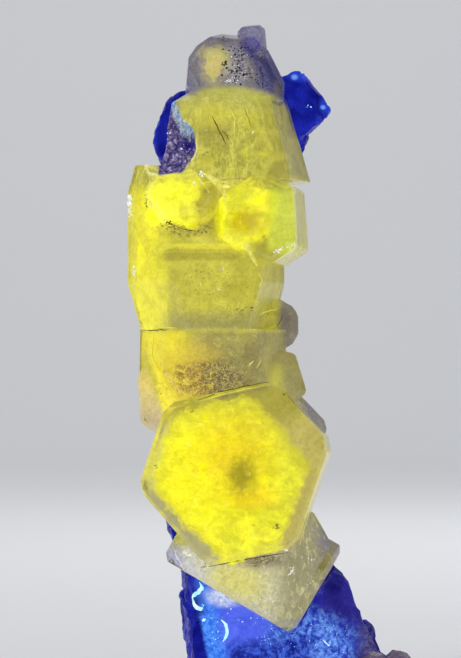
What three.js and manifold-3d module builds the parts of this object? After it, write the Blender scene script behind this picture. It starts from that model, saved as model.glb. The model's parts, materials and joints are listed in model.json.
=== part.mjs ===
// An apatite crystal cluster: a column of intergrown hexagonal crystals on a blue matrix.
// Millimetres. X runs across the column, Y from its front to its back, and Z up.
// The origin lies on the flat cut underside, below the middle of the column.

import * as THREE from 'three';
import { ConvexGeometry } from 'three/addons/geometries/ConvexGeometry.js';
import { ConvexHull } from 'three/addons/math/ConvexHull.js';
import { mergeVertices } from 'three/addons/utils/BufferGeometryUtils.js';
import { ImprovedNoise } from 'three/addons/math/ImprovedNoise.js';
import Module from 'manifold-3d';

const wasm = await Module();
wasm.setup();

// ---- Driving dimensions ----

const GAP = 0.3; // clearance between the crystals and the matrix that holds them
const WELD = 1e-3; // how far a point may stand off a face that it lies on
const SAME_CORNER = 5e-3; // corners of a crystal nearer than this are one corner
const HEX = 60; // degrees between two prism faces
const HALF_HEX = HEX / 2;

const ACROSS = new THREE.Vector3(1, 0, 0);

// Shared growth bevels: lean is the face's tilt from the prism faces towards the end,
// and cut is how far it trims the sharp edge between them.
const FINE_BEVEL = { lean: 50, cut: 0.3 };
const BROAD_BEVEL = { lean: 52, cut: 0.75 };
const SOFT_BEVEL = { lean: 32, cut: 0.7 };

// ---- Crystals ----
// at: centre. axis: the long crystal axis. turn: angle of the first prism face.
// sides: distances of the six prism faces. ends: distances of the two end faces.

const crownCrystal = {
  at: [-4.0, -1.7, 64.0],
  axis: [0.04, -0.97, 0.22],
  turn: 26,
  sides: [4.3, 3.15, 3.35, 4.3, 4.5, 7.0],
  ends: [2.6, 3.6],
  corner: 0.4,
  bevels: [SOFT_BEVEL, { lean: 60, cut: 0.35 }],
};

const crownKnob = {
  at: [-1.45, -1.3, 65.9],
  axis: [-0.1, -0.12, 0.98],
  turn: -78,
  sides: [1.35, 1.3, 1.25, 1.3, 1.35, 1.3],
  ends: [2.45, 3.0],
  corner: 0.12,
  bevels: [{ lean: 42, cut: 0.35 }],
};

const barrelCrystal = {
  at: [-3.5, -1.1, 57.0],
  axis: [-0.05, 0.04, 0.99],
  turn: -80,
  taper: 13,
  sides: [5.6, 5.85, 5.7, 5.6, 6.1, 6.2],
  ends: [5.15, 4.75],
  corner: 0.2,
  bevels: [{ lean: 58, cut: 1.0, end: 1 }],
};

const drumUpper = {
  at: [-6.2, -1.2, 46.05],
  axis: [0, 0, 1],
  turn: -80,
  sides: [4.9, 6.6, 6.6, 6.5, 7.0, 7.0],
  ends: [8.25, 8.2],
  corner: 0.15,
  bevels: [{ lean: 14, cut: 0.75, end: 1 }, { lean: 14, cut: 1.2, end: -1 }, FINE_BEVEL],
};

const drumLower = {
  at: [-6.2, -1.2, 42.0],
  axis: [0, 0, 1],
  turn: -80,
  sides: [6.3, 7.0, 7.0, 6.4, 6.9, 6.8],
  ends: [4.35, 4.2],
  corner: 0.15,
  bevels: [
    { lean: 48, cut: 0.55, end: 1 },
    { lean: 14, cut: 1.15, end: -1, only: [1, 2, 4, 5] },
    { lean: 50, cut: 0.3, end: -1 },
  ],
};

const budCrystal = {
  at: [-8.45, -5.2, 50.75],
  axis: [-0.16, -0.96, 0.16],
  turn: 36,
  sides: [3.4, 2.7, 3.5, 3.1, 2.7, 3.7],
  ends: [3.0, 3.5],
  corner: 0.3,
  bevels: [SOFT_BEVEL, { lean: 62, cut: 0.3 }],
};

const windowCrystal = {
  at: [-0.3, -6.0, 48.6],
  axis: [-0.17, -0.98, 0.04],
  turn: 4,
  sides: [3.3, 4.3, 4.15, 4.1, 3.45, 4.2],
  ends: [3.0, 6.0],
  corner: 0.12,
  bevels: [{ lean: 50, cut: 0.35 }],
};

const bandCrystal = {
  at: [-5.6, -1.2, 33.0],
  axis: [0.02, 0, 1],
  turn: -92,
  sides: [5.7, 6.5, 6.5, 5.8, 6.45, 6.45],
  ends: [4.95, 2.6],
  corner: 0.15,
  bevels: [{ lean: 30, cut: 1.4, end: -1, only: [4, 5] }],
};

const rearLobe = {
  at: [0.3, 1.2, 38.2],
  axis: [0.12, -0.98, 0.1],
  turn: 0,
  sides: [2.6, 2.6, 2.6, 2.8, 2.7, 2.7],
  ends: [3.0, 4.2],
  corner: 0.35,
  bevels: [SOFT_BEVEL],
};

const rearCorner = {
  at: [0.4, 0.8, 32.3],
  axis: [0.1, -0.99, 0.06],
  turn: 17,
  sides: [2.75, 3.3, 3.2, 3.2, 3.2, 2.9],
  ends: [4.4, 4.2],
  corner: 0.12,
  bevels: [{ lean: 48, cut: 0.5 }],
};

const leftBulge = {
  at: [-9.95, -1.6, 31.1],
  axis: [-0.25, -0.95, -0.1],
  turn: 3,
  sides: [3.2, 3.4, 3.7, 2.55, 3.4, 3.4],
  ends: [3.4, 3.8],
  corner: 0.3,
  bevels: [SOFT_BEVEL],
};

const frontPlate = {
  at: [-2.85, -5.6, 23.72],
  axis: [-0.08, -0.99, 0.03],
  turn: 41.5,
  sides: [8.75, 8.0, 8.8, 8.45, 8.5, 7.85],
  ends: [4.0, 4.1],
  corner: 0.32,
  bevels: [FINE_BEVEL],
};

const rearPlate = {
  at: [-2.6, 0.4, 24.1],
  axis: [0.05, -0.99, 0.02],
  turn: 44,
  sides: [9.05, 7.4, 7.6, 7.4, 7.2, 7.0],
  ends: [3.2, 3.0],
  corner: 0.3,
  bevels: [FINE_BEVEL],
};

// The lower crystal lies across the foot, and its right end rises in steps.
const LOWER_AXIS = [0.86, -0.04, -0.5];
const lowerCrystal = {
  at: [-1.35, -1.2, 16.0],
  axis: LOWER_AXIS,
  turn: 90,
  sides: [5.1, 6.6, 3.55, 5.1, 4.6, 5.9],
  ends: [7.0, 7.3],
  corner: 0.15,
  bevels: [{ lean: 45, cut: 0.5 }, { lean: 27, cut: 1.7, end: 1, only: [4, 5] }],
};
const lowerStepOuter = {
  ...lowerCrystal,
  at: [-1.9, -1.4, 14.9],
  sides: [4.75, 4.9, 3.0, 5.0, 2.6, 3.4],
  ends: [7.6, 6.2],
  bevels: [{ lean: 52, cut: 0.5 }],
};
const lowerStepInner = {
  ...lowerCrystal,
  at: [-0.6, -2.4, 17.2],
  sides: [3.7, 2.8, 2.4, 4.6, 2.6, 3.0],
  ends: [7.6, 5.0],
  bevels: [{ lean: 55, cut: 0.4 }],
};

// Smaller crystals that close the column at the back.
const backCrystals = [
  { at: [-5.2, 4.6, 54.2], axis: [0.2, 0.6, 0.77], turn: 12, sides: [3.0, 3.2, 2.9, 3.0, 3.1, 3.0] },
  { at: [-9.4, 3.8, 44.5], axis: [-0.5, 0.83, 0.2], turn: 30, sides: [3.1, 2.8, 3.1, 3.0, 2.8, 3.0] },
  { at: [-3.0, 6.0, 39.5], axis: [0.3, 0.94, -0.1], turn: 8, sides: [3.2, 3.3, 3.1, 3.0, 3.2, 3.2] },
  { at: [-8.6, 4.4, 30.5], axis: [-0.55, 0.8, 0.2], turn: 50, sides: [2.7, 2.9, 2.7, 2.7, 2.8, 2.7] },
].map((spec) => ({ ...spec, ends: [2.6, 4.0], corner: 0.12, bevels: [BROAD_BEVEL] }));

const APATITE = [
  crownCrystal, crownKnob, barrelCrystal, drumUpper, drumLower, budCrystal, windowCrystal,
  bandCrystal, rearLobe, rearCorner, leftBulge, frontPlate, rearPlate,
  lowerCrystal, lowerStepOuter, lowerStepInner, ...backCrystals,
];

// ---- Helpers ----

const noise = new ImprovedNoise();
const degrees = THREE.MathUtils.degToRad;
const vector = (values) => new THREE.Vector3(...values);

// A repeatable number from 0 to 1 for the given count.
function scatter(count) {
  const wave = Math.sin(count * 127.1 + 311.7) * 43758.5453;
  return wave - Math.floor(wave);
}

function solid(geometry) {
  const bare = geometry.clone();
  bare.deleteAttribute('normal');
  bare.deleteAttribute('uv');
  const welded = mergeVertices(bare, WELD);
  const mesh = new wasm.Mesh({
    numProp: 3,
    vertProperties: new Float32Array(welded.attributes.position.array),
    triVerts: new Uint32Array(welded.index.array),
  });
  return new wasm.Manifold(mesh);
}

function joined(solids) {
  return solids.reduce((whole, next) => whole.add(next));
}

function largestBody(whole) {
  const bodies = whole.decompose();
  return bodies.reduce((best, next) => (next.volume() > best.volume() ? next : best));
}

function geometryOf(whole) {
  const { vertProperties, triVerts } = whole.getMesh();
  const geometry = new THREE.BufferGeometry();
  geometry.setAttribute('position', new THREE.BufferAttribute(new Float32Array(vertProperties), 3));
  geometry.setIndex(new THREE.BufferAttribute(new Uint32Array(triVerts), 1));
  return geometry;
}

// The convex body behind all the given faces, each a plane { normal, distance } from the centre.
// Its corners are the faces of the hull around the points normal / distance.
function facetedBody(centre, faces) {
  const duals = faces.map(({ normal, distance }) => normal.clone().divideScalar(distance));
  const corners = [];
  new ConvexHull().setFromPoints(duals).faces.forEach((side) => {
    const corner = side.normal.clone().divideScalar(side.constant);
    const outside = faces.some(({ normal, distance }) => corner.dot(normal) > distance + WELD);
    const known = corners.some((other) => other.distanceTo(corner) < SAME_CORNER);
    if (!outside && !known) corners.push(corner);
  });
  return solid(new ConvexGeometry(corners).translate(...centre));
}

// A hexagonal crystal: six prism faces, two end faces, trimmed corners and bevels at the ends.
function crystal({ at, axis, turn, sides, ends, taper = 0, corner = 0, bevels = [] }, grown = 0) {
  const along = vector(axis).normalize();
  const right = ACROSS.clone().addScaledVector(along, -ACROSS.dot(along)).normalize();
  const over = along.clone().cross(right);
  const outward = (angle) => {
    const radial = right.clone().multiplyScalar(Math.cos(degrees(angle)));
    return radial.addScaledVector(over, Math.sin(degrees(angle)));
  };
  const leaned = (radial, lean, end) => {
    const normal = radial.clone().multiplyScalar(Math.cos(degrees(lean)));
    return normal.addScaledVector(along, end * Math.sin(degrees(lean)));
  };
  const faces = [
    { normal: along.clone(), distance: ends[0] },
    { normal: along.clone().negate(), distance: ends[1] },
  ];
  const slope = Math.cos(degrees(taper));
  sides.forEach((side, i) => {
    const radial = outward(turn + HEX * i);
    faces.push({ normal: leaned(radial, taper, 1), distance: side * slope });
    if (corner > 0) {
      const next = sides[(i + 1) % sides.length];
      const reach = (side + next) / (2 * Math.cos(degrees(HALF_HEX))) - corner;
      const between = outward(turn + HEX * i + HALF_HEX);
      faces.push({ normal: leaned(between, taper, 1), distance: reach * slope });
    }
    bevels.forEach(({ lean, cut, end, only }) => {
      if (only && !only.includes(i)) return;
      [1, -1].filter((which) => end === undefined || end === which).forEach((which) => {
        const height = which > 0 ? ends[0] : ends[1];
        const sideThere = side - which * height * Math.tan(degrees(taper));
        const edge = sideThere * Math.cos(degrees(lean)) + height * Math.sin(degrees(lean));
        faces.push({ normal: leaned(radial, lean, which), distance: edge - cut });
      });
    });
  });
  return facetedBody(at, faces.map(({ normal, distance }) => ({ normal, distance: distance + grown })));
}

// A ball of the given half sizes, roughened by noise: the tool for pits, and the small lumps.
function roughBall(at, halfSizes, roughness, grain, detail = 3) {
  const geometry = new THREE.IcosahedronGeometry(1, detail);
  const place = geometry.attributes.position;
  const point = new THREE.Vector3();
  for (let i = 0; i < place.count; i += 1) {
    point.fromBufferAttribute(place, i).multiply(vector(halfSizes));
    const swell = noise.noise(point.x * grain + at[0], point.y * grain + at[1], point.z * grain + at[2]);
    point.multiplyScalar(1 + roughness * swell).add(vector(at));
    place.setXYZ(i, point.x, point.y, point.z);
  }
  return solid(geometry);
}

// ---- Apatite ----

// The barrel's left side is broken and etched away, and small pits roughen two crystals.
const BROKEN_SIDE = { at: [-10.2, -5.6, 57.1], half: [3.6, 4.2, 3.9], roughness: 0.3, grain: 1.1 };
const ETCH_PITS = [
  { at: [-8.4, -3.2, 56.1], half: [1.3, 2.0, 1.2], roughness: 0.4, grain: 1.7 },
  { at: [-1.8, -3.4, 66.2], half: [0.7, 1.3, 0.55], roughness: 0.35, grain: 2.2 },
];

function apatite() {
  const cuts = [BROKEN_SIDE, ...ETCH_PITS].map((pit) => (
    roughBall(pit.at, pit.half, pit.roughness, pit.grain)
  ));
  const grown = joined(APATITE.map((spec) => crystal(spec)));
  return largestBody(grown.subtract(joined(cuts)));
}

// ---- Matrix ----

// Sections of the blue spine: height, centre across, centre in depth, half width, half depth.
const SPINE = [
  [0.0, 3.7, 1.6, 10.5, 7.6],
  [5.0, 2.45, 1.9, 9.95, 7.0],
  [10.0, 0.65, 2.5, 8.95, 6.2],
  [15.0, -1.3, 3.2, 7.8, 5.6],
  [18.7, -3.0, 3.6, 7.2, 5.2],
  [23.0, -3.4, 3.9, 6.8, 4.9],
  [30.0, -4.8, 4.6, 6.0, 4.5],
  [38.0, -5.6, 5.0, 5.8, 4.2],
  [46.0, -5.2, 4.9, 5.9, 4.1],
  [54.0, -4.2, 4.4, 5.8, 3.9],
  [59.0, -3.8, 3.8, 5.4, 3.5],
  [62.0, -3.2, 3.4, 3.6, 2.4],
];
const AROUND = 30; // faces round the spine
const RISE = 34; // and up it
const SQUARENESS = 2.7; // 2 is an ellipse, and more is boxier
// Two sizes of swelling: height in mm, waves round the spine and waves per mm up it.
const LUMPS = { height: 0.7, around: 2, rise: 0.22, shift: 5 };
const RUBBLE = { height: 0.4, around: 5, rise: 0.62, shift: 3 };

// Flat broken faces on the spine: a face pushes back what stands up to BREAK_REACH in front of it,
// and leaves a little of the swelling.
const BREAK_REACH = 4;
const BREAK_SHARE = 0.85;
const BROKEN_FACES = [
  { normal: [-0.99, -0.05, -0.12], through: [-7.5, 0, 6.0] },
  { normal: [-0.66, -0.75, 0.05], through: [-6.3, -3.6, 6.0] },
  { normal: [-0.12, -0.98, 0.16], through: [-2.0, -5.0, 4.0] },
  { normal: [0.25, -0.95, 0.2], through: [5.0, -4.9, 4.0] },
  { normal: [0.78, -0.5, 0.37], through: [11.0, -3.4, 4.0] },
  { normal: [0.86, 0.1, 0.5], through: [10.6, 1.0, 7.4] },
  { normal: [0.5, 0.8, 0.33], through: [7.0, 7.2, 7.0] },
  { normal: [-0.55, 0.82, 0.16], through: [-5.0, 7.4, 14.0] },
  { normal: [0.15, 0.98, 0.1], through: [0, 8.2, 24.0] },
  { normal: [-0.35, 0.93, -0.1], through: [-6.5, 8.1, 40.0] },
  { normal: [0.6, 0.8, 0.0], through: [-1.0, 7.7, 46.0] },
];

function sectionAt(height) {
  const above = Math.max(1, SPINE.findIndex((row) => row[0] >= height - WELD));
  const upper = SPINE[above];
  const lower = SPINE[above - 1];
  const share = (height - lower[0]) / (upper[0] - lower[0]);
  return lower.map((value, i) => THREE.MathUtils.lerp(value, upper[i], share));
}

function swelling({ height, around, rise, shift }, angle, up) {
  const x = Math.cos(angle) * around + shift;
  const y = Math.sin(angle) * around + shift;
  return height * noise.noise(x, y, up * rise);
}

function spine() {
  const top = SPINE[SPINE.length - 1][0];
  const geometry = new THREE.CylinderGeometry(1, 1, top, AROUND, RISE).rotateX(Math.PI / 2);
  geometry.translate(0, 0, top / 2);
  const place = geometry.attributes.position;
  const point = new THREE.Vector3();
  const faces = BROKEN_FACES.map(({ normal, through }) => (
    new THREE.Plane().setFromNormalAndCoplanarPoint(vector(normal).normalize(), vector(through))
  ));
  for (let i = 0; i < place.count; i += 1) {
    point.fromBufferAttribute(place, i);
    const [, centreX, centreY, halfWidth, halfDepth] = sectionAt(point.z);
    const reach = Math.hypot(point.x, point.y);
    const angle = Math.atan2(point.y, point.x);
    const power = Math.abs(Math.cos(angle)) ** SQUARENESS + Math.abs(Math.sin(angle)) ** SQUARENESS;
    const boxy = reach / power ** (1 / SQUARENESS);
    const swell = reach * (swelling(LUMPS, angle, point.z) + swelling(RUBBLE, angle, point.z));
    point.x = centreX + (halfWidth * boxy + swell) * Math.cos(angle);
    point.y = centreY + (halfDepth * boxy + swell) * Math.sin(angle);
    faces.forEach((face) => {
      const proud = face.distanceToPoint(point);
      if (proud > 0 && proud < BREAK_REACH) point.addScaledVector(face.normal, -BREAK_SHARE * proud);
    });
    const low = place.getZ(i) < WELD;
    place.setXYZ(i, point.x, point.y, low ? 0 : Math.max(0, point.z));
  }
  return solid(geometry);
}

// Blocks of the matrix with broken faces. Each face is [across, depth, up, distance].
const RIGHT_LOBE = {
  at: [2.9, 3.2, 59.8],
  faces: [
    [0.76, -0.1, 0.65, 3.05], [0.3, 0.1, 0.95, 3.75], [-0.3, 0, 0.95, 3.9], [0.65, 0, -0.76, 2.3],
    [0.95, 0.1, -0.32, 3.25], [-1, 0, 0, 5.0], [0, 0, -1, 6.6], [0.1, -1, 0.1, 2.5],
    [0.1, 1, 0.1, 2.6], [0.6, -0.75, 0.3, 2.9], [0.5, 0.8, 0.3, 3.1], [0.5, 0.7, -0.5, 3.2],
  ],
};
const LEFT_LOBE = {
  at: [-7.6, 2.6, 57.2],
  faces: [
    [-0.97, 0, -0.22, 4.0], [-0.93, -0.05, 0.36, 3.6], [-0.66, 0, 0.75, 4.25], [-0.3, 0, 0.95, 4.55],
    [-0.84, 0, -0.54, 3.95], [-0.5, 0, -0.86, 4.0], [1, 0, 0, 4.0], [0, 0, -1, 5.0],
    [-0.1, -1, 0.1, 2.8], [0, 1, 0.2, 3.0], [-0.65, -0.7, 0.2, 3.6], [-0.6, 0.75, 0.1, 3.5],
  ],
};
const LOBE_NECK = {
  at: [1.2, 3.4, 57.4],
  faces: [
    [0.96, 0, -0.28, 2.75], [0.6, 0, 0.8, 2.6], [-1, 0, 0, 3.0], [0, 0, -1, 3.4],
    [0, -1, 0, 2.2], [0, 1, 0.1, 2.3], [0.6, -0.75, 0, 2.5], [0.6, 0.75, 0, 2.6],
  ],
};
const LEFT_SHOULDER = {
  at: [-8.2, 1.5, 18.0],
  faces: [
    [-0.94, 0, -0.34, 1.75], [-0.5, 0, 0.86, 3.0], [1, 0, 0, 3.0], [0, 0, -1, 3.5],
    [0, -1, 0, 2.0], [0, 1, 0, 2.5], [-0.6, -0.7, 0.2, 2.2], [-0.6, 0.7, 0.2, 2.4],
  ],
};
const FOOT_LEDGE = {
  at: [-3.2, -1.4, 4.0],
  faces: [
    [-0.98, -0.1, -0.14, 4.05], [-0.35, -0.93, 0.12, 3.7], [0.25, -0.95, 0.18, 3.6],
    [0.95, -0.2, 0.2, 4.2], [0, 1, 0, 5.0], [0, 0, -1, 6.0], [-0.3, -0.4, 0.86, 6.0],
    [0.4, -0.3, 0.86, 5.2],
  ],
};
const BLOCKS = [RIGHT_LOBE, LOBE_NECK, LEFT_LOBE, LEFT_SHOULDER, FOOT_LEDGE];

// Small sugary cubes on the foot's right front, and blocks that stand side by side over the back.
const SUGAR = { count: 30, from: [1.0, 0.8], to: [9.6, 8.6], size: [0.4, 0.85] };
const BACK_BLOCKS = {
  count: 13, size: [1.7, 2.9], spread: [38, 132], rise: [3, 58], seat: [0.72, 0.62], trim: 1.35,
};
const CUBE_FACES = [[1, 0, 0], [-1, 0, 0], [0, 1, 0], [0, -1, 0], [0, 0, 1], [0, 0, -1]];
const CUBE_CORNERS = [-1, 1].flatMap((x) => [-1, 1].flatMap((y) => [-1, 1].map((z) => [x, y, z])));

function block({ at, faces }) {
  return facetedBody(at, faces.map(([x, y, z, distance]) => (
    { normal: new THREE.Vector3(x, y, z).normalize(), distance }
  )));
}

// A cube about the given half size, with its corners cut off where trim is under 1.73.
function cube(at, size, turned, seed, trim) {
  const face = (values, distance) => (
    { normal: vector(values).normalize().applyEuler(turned), distance }
  );
  const faces = CUBE_FACES.map((values, i) => face(values, size * (0.8 + 0.4 * scatter(seed + i))));
  const corners = trim ? CUBE_CORNERS.map((values) => face(values, size * trim)) : [];
  return facetedBody(at, [...faces, ...corners]);
}

// The foot's front surface in depth, for the sugar that grows on it.
function footFront(x, z) {
  return -5.9 + 0.2 * z + 0.15 * Math.max(0, x - 4) + 0.7 * Math.max(0, x - 8);
}

function sugarCrystals() {
  return Array.from({ length: SUGAR.count }, (_, i) => {
    const x = THREE.MathUtils.lerp(SUGAR.from[0], SUGAR.to[0], scatter(i * 3 + 1));
    const z = THREE.MathUtils.lerp(SUGAR.from[1], SUGAR.to[1], scatter(i * 3 + 2));
    const size = THREE.MathUtils.lerp(...SUGAR.size, scatter(i * 3 + 3) ** 2);
    const turned = new THREE.Euler(scatter(i) * 3, scatter(i + 1) * 3, scatter(i + 2) * 3);
    return cube([x, footFront(x, z), z], size, turned, i);
  });
}

function backBlocks() {
  return Array.from({ length: BACK_BLOCKS.count }, (_, i) => {
    const share = (i + 0.6 * scatter(i)) / BACK_BLOCKS.count;
    const height = THREE.MathUtils.lerp(...BACK_BLOCKS.rise, share);
    const [, centreX, centreY, halfWidth, halfDepth] = sectionAt(height);
    const angle = degrees(THREE.MathUtils.lerp(...BACK_BLOCKS.spread, scatter(i + 50)));
    const x = centreX + halfWidth * BACK_BLOCKS.seat[0] * Math.cos(angle);
    const y = centreY + halfDepth * BACK_BLOCKS.seat[1] * Math.sin(angle);
    const size = THREE.MathUtils.lerp(...BACK_BLOCKS.size, scatter(i + 90));
    const turned = new THREE.Euler(
      0.35 + 0.12 * scatter(i),
      0.25 * scatter(i + 7),
      0.5 + 0.3 * scatter(i + 3),
    );
    return cube([x, y, height], size, turned, i * 7 + 5, BACK_BLOCKS.trim);
  });
}

// ---- Pink crystals at the foot's right ----

const PINK = [
  { at: [10.4, -3.6, 2.6], axis: [0.1, -0.3, 0.95], turn: 10, sides: [1.9, 1.8, 1.9, 1.9, 1.8, 1.9] },
  { at: [12.6, -1.6, 2.5], axis: [0.2, 0.1, 0.97], turn: 34, sides: [2.1, 2.0, 1.9, 2.0, 2.1, 1.9] },
  { at: [12.6, -4.4, 1.8], axis: [0.45, -0.4, 0.8], turn: 0, sides: [1.6, 1.4, 1.5, 1.6, 1.4, 1.5] },
  { at: [14.0, 0.6, 1.9], axis: [0.5, 0.3, 0.8], turn: 20, sides: [1.5, 1.6, 1.5, 1.5, 1.6, 1.5] },
  { at: [9.6, -5.4, 1.2], axis: [-0.1, -0.6, 0.8], turn: 20, sides: [1.2, 1.3, 1.2, 1.2, 1.3, 1.2] },
].map((spec) => ({ ...spec, ends: [3.1, 3.2], bevels: [{ lean: 38, cut: 1.0, end: 1 }] }));

// What lies below the flat cut.
const GROUND = { width: 100, depth: 40 };
const ground = solid(
  new THREE.BoxGeometry(GROUND.width, GROUND.width, GROUND.depth).translate(0, 0, -GROUND.depth / 2),
);

function pinkCrystals(grown = 0) {
  return joined(PINK.map((spec) => crystal(spec, grown)));
}

// The sawn foot's outline, anticlockwise seen from above, and the lean of its chamfered edge.
const FOOT_OUTLINE = [[-6.8, -5.2], [6.5, -6.1], [13.4, -0.8], [12.8, 5.5], [6, 8.6], [-6.8, 6]];
const FOOT_LEAN = 25;

function trimmedFoot(rock) {
  return FOOT_OUTLINE.reduce((rest, [x, y], i) => {
    const [nextX, nextY] = FOOT_OUTLINE[(i + 1) % FOOT_OUTLINE.length];
    const inward = new THREE.Vector3(y - nextY, nextX - x, 0).normalize();
    inward.multiplyScalar(Math.cos(degrees(FOOT_LEAN))).setZ(Math.sin(degrees(FOOT_LEAN)));
    return rest.trimByPlane(inward.toArray(), inward.dot(new THREE.Vector3(x, y, 0)));
  }, rock);
}

function matrix() {
  const rock = joined([spine(), ...BLOCKS.map(block), ...sugarCrystals(), ...backBlocks()]);
  const sockets = joined([...APATITE.map((spec) => crystal(spec, GAP)), pinkCrystals(GAP)]);
  return largestBody(trimmedFoot(rock.subtract(sockets).subtract(ground)));
}

// ---- Assembly ----

const apatiteFinish = new THREE.MeshStandardMaterial({ color: 0xd8d23c, roughness: 0.18, metalness: 0 });
const matrixFinish = new THREE.MeshStandardMaterial({ color: 0x1c2fb4, roughness: 0.25, metalness: 0 });
const pinkFinish = new THREE.MeshStandardMaterial({ color: 0x9a8c98, roughness: 0.4, metalness: 0 });

function piece(name, whole, finish) {
  const mesh = new THREE.Mesh(geometryOf(whole), finish);
  mesh.name = name;
  return mesh;
}

const cluster = new THREE.Group();
cluster.add(
  piece('apatite_crystals', apatite(), apatiteFinish),
  piece('blue_matrix', matrix(), matrixFinish),
  piece('pink_crystals', largestBody(pinkCrystals().subtract(ground)), pinkFinish),
);

export default cluster;
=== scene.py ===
"""The finished look of an apatite crystal cluster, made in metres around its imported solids."""

import json
import math
import random

import bpy
from mathutils import Euler, Matrix, Vector, noise
from mathutils.bvhtree import BVHTree

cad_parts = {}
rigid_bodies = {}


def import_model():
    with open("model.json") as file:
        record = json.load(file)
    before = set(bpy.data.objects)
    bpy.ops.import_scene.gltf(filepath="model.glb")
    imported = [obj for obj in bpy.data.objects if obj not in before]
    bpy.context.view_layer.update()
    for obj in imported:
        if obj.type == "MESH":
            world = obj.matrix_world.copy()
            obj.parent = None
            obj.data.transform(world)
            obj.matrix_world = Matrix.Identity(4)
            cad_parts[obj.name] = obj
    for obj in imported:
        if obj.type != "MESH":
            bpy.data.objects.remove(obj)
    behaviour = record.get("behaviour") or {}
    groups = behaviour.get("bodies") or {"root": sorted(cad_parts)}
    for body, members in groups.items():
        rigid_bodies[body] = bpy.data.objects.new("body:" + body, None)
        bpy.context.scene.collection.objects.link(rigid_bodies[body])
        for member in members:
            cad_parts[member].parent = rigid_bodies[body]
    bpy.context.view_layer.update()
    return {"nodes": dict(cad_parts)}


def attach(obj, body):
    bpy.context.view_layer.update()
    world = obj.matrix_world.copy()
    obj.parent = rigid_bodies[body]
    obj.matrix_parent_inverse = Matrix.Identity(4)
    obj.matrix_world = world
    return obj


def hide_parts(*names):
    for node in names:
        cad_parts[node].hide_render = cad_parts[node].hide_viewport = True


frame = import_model()

MM = 0.001
SEED = 7
HEX = 60
HALF_HEX = HEX / 2
draw = random.Random(SEED)

# Distances of the modelling, in metres.
CRYSTAL_WELD, ROCK_WELD = 0.01 * MM, 0.002 * MM
CRYSTAL_ROUND, ROCK_ROUND = 0.07 * MM, 0.12 * MM
FOOT_MARGIN = 0.02 * MM
MOST_SPLITS = 9
# How strongly a bend shows in the painted edge highlights.
HIGHLIT_EDGE_GAIN = 6

# ---- Crystals, in millimetres and degrees ----
# at: centre. axis: the long crystal axis. turn: angle of the first prism face.
# sides: distances of the six prism faces. ends: distances of the two end faces.
# bevels: (lean, cut, which end or 0 for both, which faces or None for all).

FINE = (50, 0.3, 0, None)
BROAD = (52, 0.75, 0, None)
SOFT = (32, 0.7, 0, None)

CROWN = dict(
    at=(-4.0, -1.7, 64.0), axis=(0.04, -0.97, 0.22), turn=26,
    sides=(4.3, 3.2, 3.75, 4.65, 4.5, 7.0), ends=(2.6, 3.6),
    corner=0.8, bevels=(SOFT, (60, 0.35, 0, None)),
)
KNOB = dict(
    at=(-1.45, -1.3, 65.9), axis=(-0.1, -0.12, 0.98), turn=-78,
    sides=(1.35, 1.3, 1.25, 1.3, 1.35, 1.3), ends=(2.45, 3.0),
    corner=0.12, bevels=((42, 0.35, 0, None),),
)
BARREL = dict(
    at=(-3.5, -1.1, 57.0), axis=(-0.05, 0.04, 0.99), turn=-80, taper=13,
    sides=(5.6, 5.85, 5.7, 5.6, 6.1, 6.2), ends=(5.15, 4.75),
    corner=0.2, bevels=((58, 1.0, 1, None),),
)
DRUM_UPPER = dict(
    at=(-6.2, -1.2, 46.05), axis=(0, 0, 1), turn=-80,
    sides=(4.9, 6.6, 6.6, 6.5, 7.0, 7.0), ends=(8.25, 8.2),
    corner=0.15, bevels=((14, 0.75, 1, None), (14, 1.2, -1, None), (50, 0.3, 1, None)),
)
DRUM_LOWER = dict(
    at=(-6.2, -1.2, 42.0), axis=(0, 0, 1), turn=-80,
    sides=(6.3, 7.0, 7.0, 6.4, 6.9, 6.8), ends=(4.35, 4.2),
    corner=0.15, bevels=((48, 0.55, 1, None), (14, 1.15, -1, (1, 2, 4, 5))),
)
BUD = dict(
    at=(-8.45, -5.2, 50.75), axis=(-0.16, -0.96, 0.16), turn=36,
    sides=(3.4, 2.7, 3.5, 3.1, 2.7, 3.7), ends=(3.0, 3.5),
    corner=0.3, bevels=(SOFT, (62, 0.3, 0, None)),
)
WINDOW = dict(
    at=(-0.3, -6.0, 48.6), axis=(-0.17, -0.98, 0.04), turn=4,
    sides=(3.3, 4.3, 4.15, 4.1, 3.45, 4.2), ends=(3.0, 6.0),
    corner=0.12, bevels=((50, 0.35, 0, None),),
)
BAND = dict(
    at=(-5.6, -1.2, 33.0), axis=(0.02, 0, 1), turn=-92,
    sides=(5.7, 6.5, 6.5, 5.8, 6.45, 6.45), ends=(4.95, 2.6),
    corner=0.15, bevels=((30, 1.4, -1, (4, 5)),),
)
REAR_LOBE = dict(
    at=(0.3, 1.2, 38.2), axis=(0.12, -0.98, 0.1), turn=0,
    sides=(2.6, 2.6, 2.6, 2.8, 2.7, 2.7), ends=(3.0, 4.2),
    corner=0.35, bevels=(SOFT,),
)
REAR_CORNER = dict(
    at=(0.4, 0.8, 32.3), axis=(0.1, -0.99, 0.06), turn=17,
    sides=(2.75, 3.3, 3.2, 3.2, 3.2, 2.9), ends=(4.4, 4.2),
    corner=0.12, bevels=((48, 0.5, 0, None),),
)
LEFT_BULGE = dict(
    at=(-9.95, -1.6, 31.1), axis=(-0.25, -0.95, -0.1), turn=3,
    sides=(3.2, 3.4, 3.7, 2.55, 3.4, 3.4), ends=(3.4, 3.8),
    corner=0.3, bevels=(SOFT,),
)
FRONT_PLATE = dict(
    at=(-2.85, -5.6, 23.72), axis=(-0.08, -0.99, 0.03), turn=41.5,
    sides=(8.75, 8.0, 8.8, 8.45, 8.5, 7.85), ends=(4.0, 4.1),
    corner=0.45, bevels=(FINE,),
)
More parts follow.
